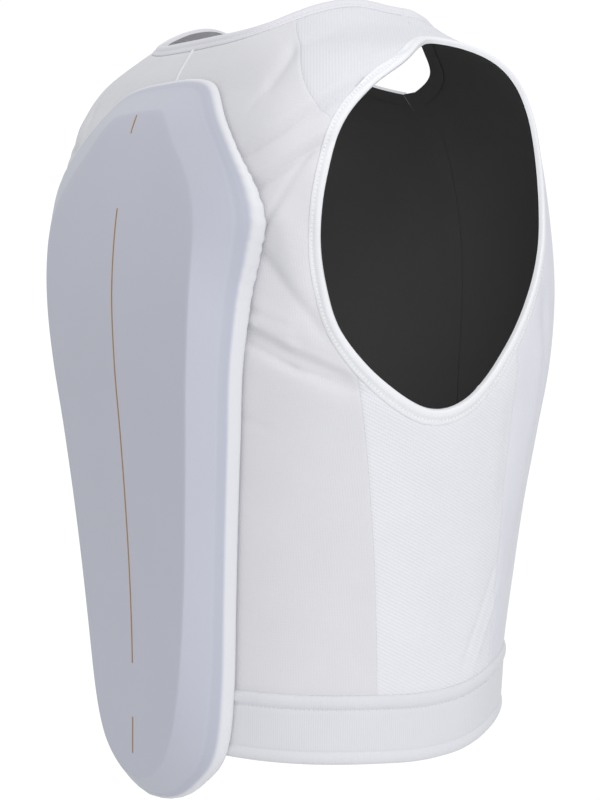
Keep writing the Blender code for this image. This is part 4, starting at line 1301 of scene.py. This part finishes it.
for toward, height in PAD_PROFILE + ((2.0, 1.0), (2.0, 0.0)):
    to_crease, to_spine = min(toward, 1.0), max(toward - 1.0, 0.0)
    across = half[:, 0] * (1 - to_crease) + half[:, 2] * to_crease
    along = half[:, 1] * (1 - to_crease) + half[:, 3] * to_crease
    across, along = across * (1 - to_spine), along * (1 - to_spine) + spine * to_spine
    rim = math.exp(-(toward / GATHER_FADE) ** 2) if height > 0.004 else 0.0
    out = gathers * rim * GATHER_DEPTH
    x = across * PAD_HALF_WIDTH
    z = -PAD_DROP - along * PAD_LENGTH
    dx, dz = np.gradient(x), np.gradient(z)
    span = np.hypot(dx, dz) + 1e-9
    x = np.clip(x - out * dz / span, 0.0, None)
    z = z + out * dx / span
    left = pad_surface(x, z, height)
    if toward == 2.0:
        rings.append(left)
    else:
        right = pad_surface(-x[-2:0:-1], z[-2:0:-1], height)
        rings.append(np.vstack([left, right]))
count = 2 * PAD_STEPS
top_spine, under_spine = rings[-2], rings[-1]
pad_points = np.vstack(rings[:-2] + [top_spine, under_spine])
first_top = (len(rings) - 2) * count
first_under = first_top + PAD_STEPS + 1
faces = []
for ring in range(len(PAD_PROFILE) - 1):
    a, b = ring * count, (ring + 1) * count
    for k in range(count):
        m = (k + 1) % count
        faces.append((a + k, a + m, b + m, b + k))
for ring, spine_from, flip in ((len(PAD_PROFILE) - 1, first_top, False), (0, first_under, True)):
    for k in range(count):
        m = (k + 1) % count
        p = k if k <= PAD_STEPS else count - k
        q = m if m <= PAD_STEPS else count - m
        face = (ring * count + k, ring * count + m, spine_from + q, spine_from + p)
        if p == q:
            face = face[:3]
        faces.append(face[::-1] if flip else face)
# The pad's pattern: metres round each ring, and the share of the way to the crease, which is
# 3 on the underside, away from all the tones of the top.
reach = [toward if height > 0.0 else 3.0 for toward, height in PAD_PROFILE]
pad_share = np.concatenate([np.repeat(reach, count), np.full(2 * (PAD_STEPS + 1), 2.0)])
turn = 2 * far[-1]
ring_run = np.concatenate([at, turn - at[-2:0:-1]])
pad_run = np.concatenate([np.tile(ring_run, len(PAD_PROFILE)), at, at])
places = []
for face in faces:
    closing = max(pad_run[k] for k in face) > 0.75 * turn
    places += [(pad_run[k] + (turn if closing and pad_run[k] == 0.0 else 0.0), pad_share[k])
               for k in face]

# Brushed polyamide laminated on foam: a matt grey-blue with a fine even grain, which takes light
# softly on the flanks. A painted highlight makes it pale over the rim, and painted shade makes it a
# little deeper in the hollow inside it.
# Real grain is 0.3 mm; this is 0.8 mm.
PAD_GRAIN = 0.0008
PAD_UNEVEN = 0.0022        # the broader unevenness of the foam below
# Painted highlight: the rim's pale tone stands for the key light falling on the rolled rim.
RIM_HIGHLIGHT = (0.03, 0.13)    # shares of the way to the crease between which the rim's pale
                           # tone fades out
# Painted shade in the hollow inside the rim, from the hollow on: the share of the way to the
# crease, red, green and blue.
PAD_HOLLOW_SHADE = (
    (0.10, 0.92, 0.93, 0.96),
    (0.22, 0.94, 0.94, 0.95),
    (0.27, 0.96, 0.96, 0.97),
    (0.30, 1.00, 1.00, 1.01),
    (0.40, 1.00, 1.00, 1.00),
)
pad_cloth = finish("laminated_pad_cloth_grey_blue_painted_light", "#BEC1CD", "#BABDC9", roughness=0.62,
                   sheen=0.35, mottle=0.05)
tree = pad_cloth.node_tree
shader = tree.nodes["Principled BSDF"]
spread = node(tree, "ShaderNodeUVMap", uv_map="cloth")
along = node(tree, "ShaderNodeSeparateXYZ", {0: spread.outputs[0]})
# Painted highlight: the pale colour below is mixed in over the rim.
rim_highlight = node(tree, "ShaderNodeMapRange",
                 {0: along.outputs[1], 1: RIM_HIGHLIGHT[0], 2: RIM_HIGHLIGHT[1], 3: 1.0, 4: 0.0},
                 interpolation_type="SMOOTHSTEP")
# Painted shade: the cloth is darkened and blued in the hollow between the rim and the ridge.
hollow_shade = node(tree, "ShaderNodeValToRGB", {0: along.outputs[1]})
stops = hollow_shade.color_ramp.elements
for stop, (share, *hue) in zip(stops, (PAD_HOLLOW_SHADE[0], PAD_HOLLOW_SHADE[-1])):
    stop.position = share
    stop.color = (*hue, 1.0)
for share, *hue in PAD_HOLLOW_SHADE[1:-1]:
    stops.new(share).color = (*hue, 1.0)
hollow_shaded = node(tree, "ShaderNodeMix", {"Factor": 1.0, 7: hollow_shade.outputs[0],
                                       6: shader.inputs["Base Color"].links[0].from_socket},
               data_type="RGBA", blend_type="MULTIPLY")
tone = node(tree, "ShaderNodeMix", {"Factor": rim_highlight.outputs[0], 6: hollow_shaded.outputs[2],
                                    7: linear("#DCDDE2")}, data_type="RGBA")
tree.links.new(tone.outputs[2], shader.inputs["Base Color"])
fine = grain(tree, PAD_GRAIN)
uneven = both(tree, grain(tree, PAD_UNEVEN), 0.5)
weave(pad_cloth, both(tree, fine, uneven, "ADD"), depth=0.00005, dark=0.02)
pad = closed_mesh("back_pad_cover", pad_points, faces, places, [pad_cloth])
pad.data.set_sharp_from_angle(angle=math.radians(180))    # a pad has no sharp edge
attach(pad, "root")
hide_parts("back_pad")

# Middle line of the pad: a fine metallic transfer print pressed on to the cloth along the
# spine, in three runs with bare cloth between them.
PRINT_RUNS = ((0.078, 0.089), (0.134, 0.407), (0.440, 0.462))
PRINT_WIDTH = 0.0013
PRINT_STEP = 0.003         # length of a facet along it
PRINT_PROUD = 0.00012      # how far it stands off the pad, and how far it goes into it
PRINT_SUNK = 0.00025
FOIL_GRAIN = 0.0006

# Heat-pressed transfer foil: matt gold-brown, a little glossier than the cloth round it.
gold_print = finish("transfer_print_gold_brown", "#A9814C", "#A07845", roughness=0.45,
                    sheen=0.0, mottle=0.006)
weave(gold_print, grain(gold_print.node_tree, FOIL_GRAIN), depth=0.00002, dark=0.06)
points, faces = [], []
beside = PRINT_WIDTH / 2
for z_from, z_to in PRINT_RUNS:
    rows = np.linspace(-z_from, -z_to, max(6, int((z_to - z_from) / PRINT_STEP)))
    spine_y = section(rows)[1] + PAD_THICKNESS
    start = len(points)
    for z, y in zip(rows, spine_y):
        points += [(-beside, y + PRINT_PROUD, z), (beside, y + PRINT_PROUD, z),
                   (beside, y - PRINT_SUNK, z), (-beside, y - PRINT_SUNK, z)]
    for i in range(len(rows) - 1):
        for k in range(4):
            m = (k + 1) % 4
            faces.append((start + 4 * i + k, start + 4 * i + m, start + 4 * i + 4 + m,
                          start + 4 * i + 4 + k))
    last = start + 4 * (len(rows) - 1)
    faces.append((start, start + 1, start + 2, start + 3))
    faces.append((last, last + 1, last + 2, last + 3))
places = [(points[k][0], points[k][2]) for face in faces for k in face]
print_line = closed_mesh("pad_middle_print", points, faces, places, [gold_print])
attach(print_line, "root")

# The studio: a pale round floor below the vest with white all round, a large soft light
# from the wearer's right, two weak ones that fill its shade at the side and at the front
# left, a soft one overhead, and the photographer's camera.
FLOOR = -0.75
FLOOR_RADIUS = 0.72
FLOOR_SIDES = 96
WORLD_GLOW = 0.60          # how much light the white all round gives
WORLD_WHITE = 1.06         # how bright it is in the picture
LIT_MIDDLE = (0.0, 0.0, -0.22)
# Place, power in watts, size and colour of each light.
LIGHTS = {
    "key_right": ((-1.62, 0.74, 0.30), 14.3, 1.1, (1.0, 0.99, 0.98)),
    "fill_side": ((-1.60, -0.35, 0.10), 2.6, 1.0, (1.0, 1.0, 1.0)),
    "fill_front_left": ((1.25, -1.25, 0.25), 6.0, 1.2, (1.0, 1.0, 1.0)),
    "overhead": ((-0.15, 0.35, 1.50), 6.0, 1.2, (1.0, 1.0, 1.0)),
}
# The camera stands a metre from the vest's middle line, behind it on the wearer's right. It
# looks 55 degrees aside from straight behind, and 2.61 degrees down.
CAMERA_PLACE = (-0.8129, 0.5825, -0.206)
CAMERA_DOWN = 2.61
CAMERA_ASIDE = 55.0
CAMERA_LENS = 69.23        # millimetres, on a sensor 36 mm high
SENSOR = 36.0

floor_finish = finish("studio_floor_pale", "#EFEFEF", "#EBEBEB", roughness=0.9, sheen=0.0,
                      mottle=0.4)
floor_mesh = bpy.data.meshes.new("studio_floor")
turns = np.linspace(0.0, 2 * np.pi, FLOOR_SIDES, endpoint=False)
floor_rim = [(FLOOR_RADIUS * math.cos(t), FLOOR_RADIUS * math.sin(t), FLOOR) for t in turns]
floor_mesh.from_pydata(floor_rim, [], [tuple(range(FLOOR_SIDES))])
floor_mesh.materials.append(floor_finish)
floor = put("studio_floor", floor_mesh)

world = bpy.data.worlds.new("studio_white")
world.use_nodes = True
bpy.context.scene.world = world
tree = world.node_tree
backdrop = tree.nodes["Background"]
backdrop.inputs["Color"].default_value = (0.97, 0.98, 1.0, 1.0)
seen = node(tree, "ShaderNodeLightPath")
level = node(tree, "ShaderNodeMapRange", {0: seen.outputs["Is Camera Ray"], 3: WORLD_GLOW,
                                          4: WORLD_WHITE})
tree.links.new(level.outputs[0], backdrop.inputs["Strength"])

# Each light is a square area that looks at the middle of the vest.
for name, (place, power, size, tint) in LIGHTS.items():
    lamp = bpy.data.lights.new(name, "AREA")
    lamp.energy = power
    lamp.size = size
    lamp.color = tint
    item = put(name, lamp)
    item.location = place
    away = np.array(place) - np.array(LIT_MIDDLE)
    flat = math.hypot(away[0], away[1])
    item.rotation_euler = (math.atan2(flat, away[2]), 0.0, math.atan2(away[0], -away[1]))

camera_data = bpy.data.cameras.new("photograph_camera")
camera_data.sensor_width = SENSOR
camera_data.sensor_fit = "AUTO"
camera_data.lens = CAMERA_LENS
camera = put("photograph_camera", camera_data)
camera.location = CAMERA_PLACE
camera.rotation_euler = (math.radians(90 - CAMERA_DOWN), 0.0, math.radians(180 + CAMERA_ASIDE))
bpy.context.scene.camera = camera
bpy.context.scene.view_settings.view_transform = "Standard"
bpy.context.scene.view_settings.look = "None"
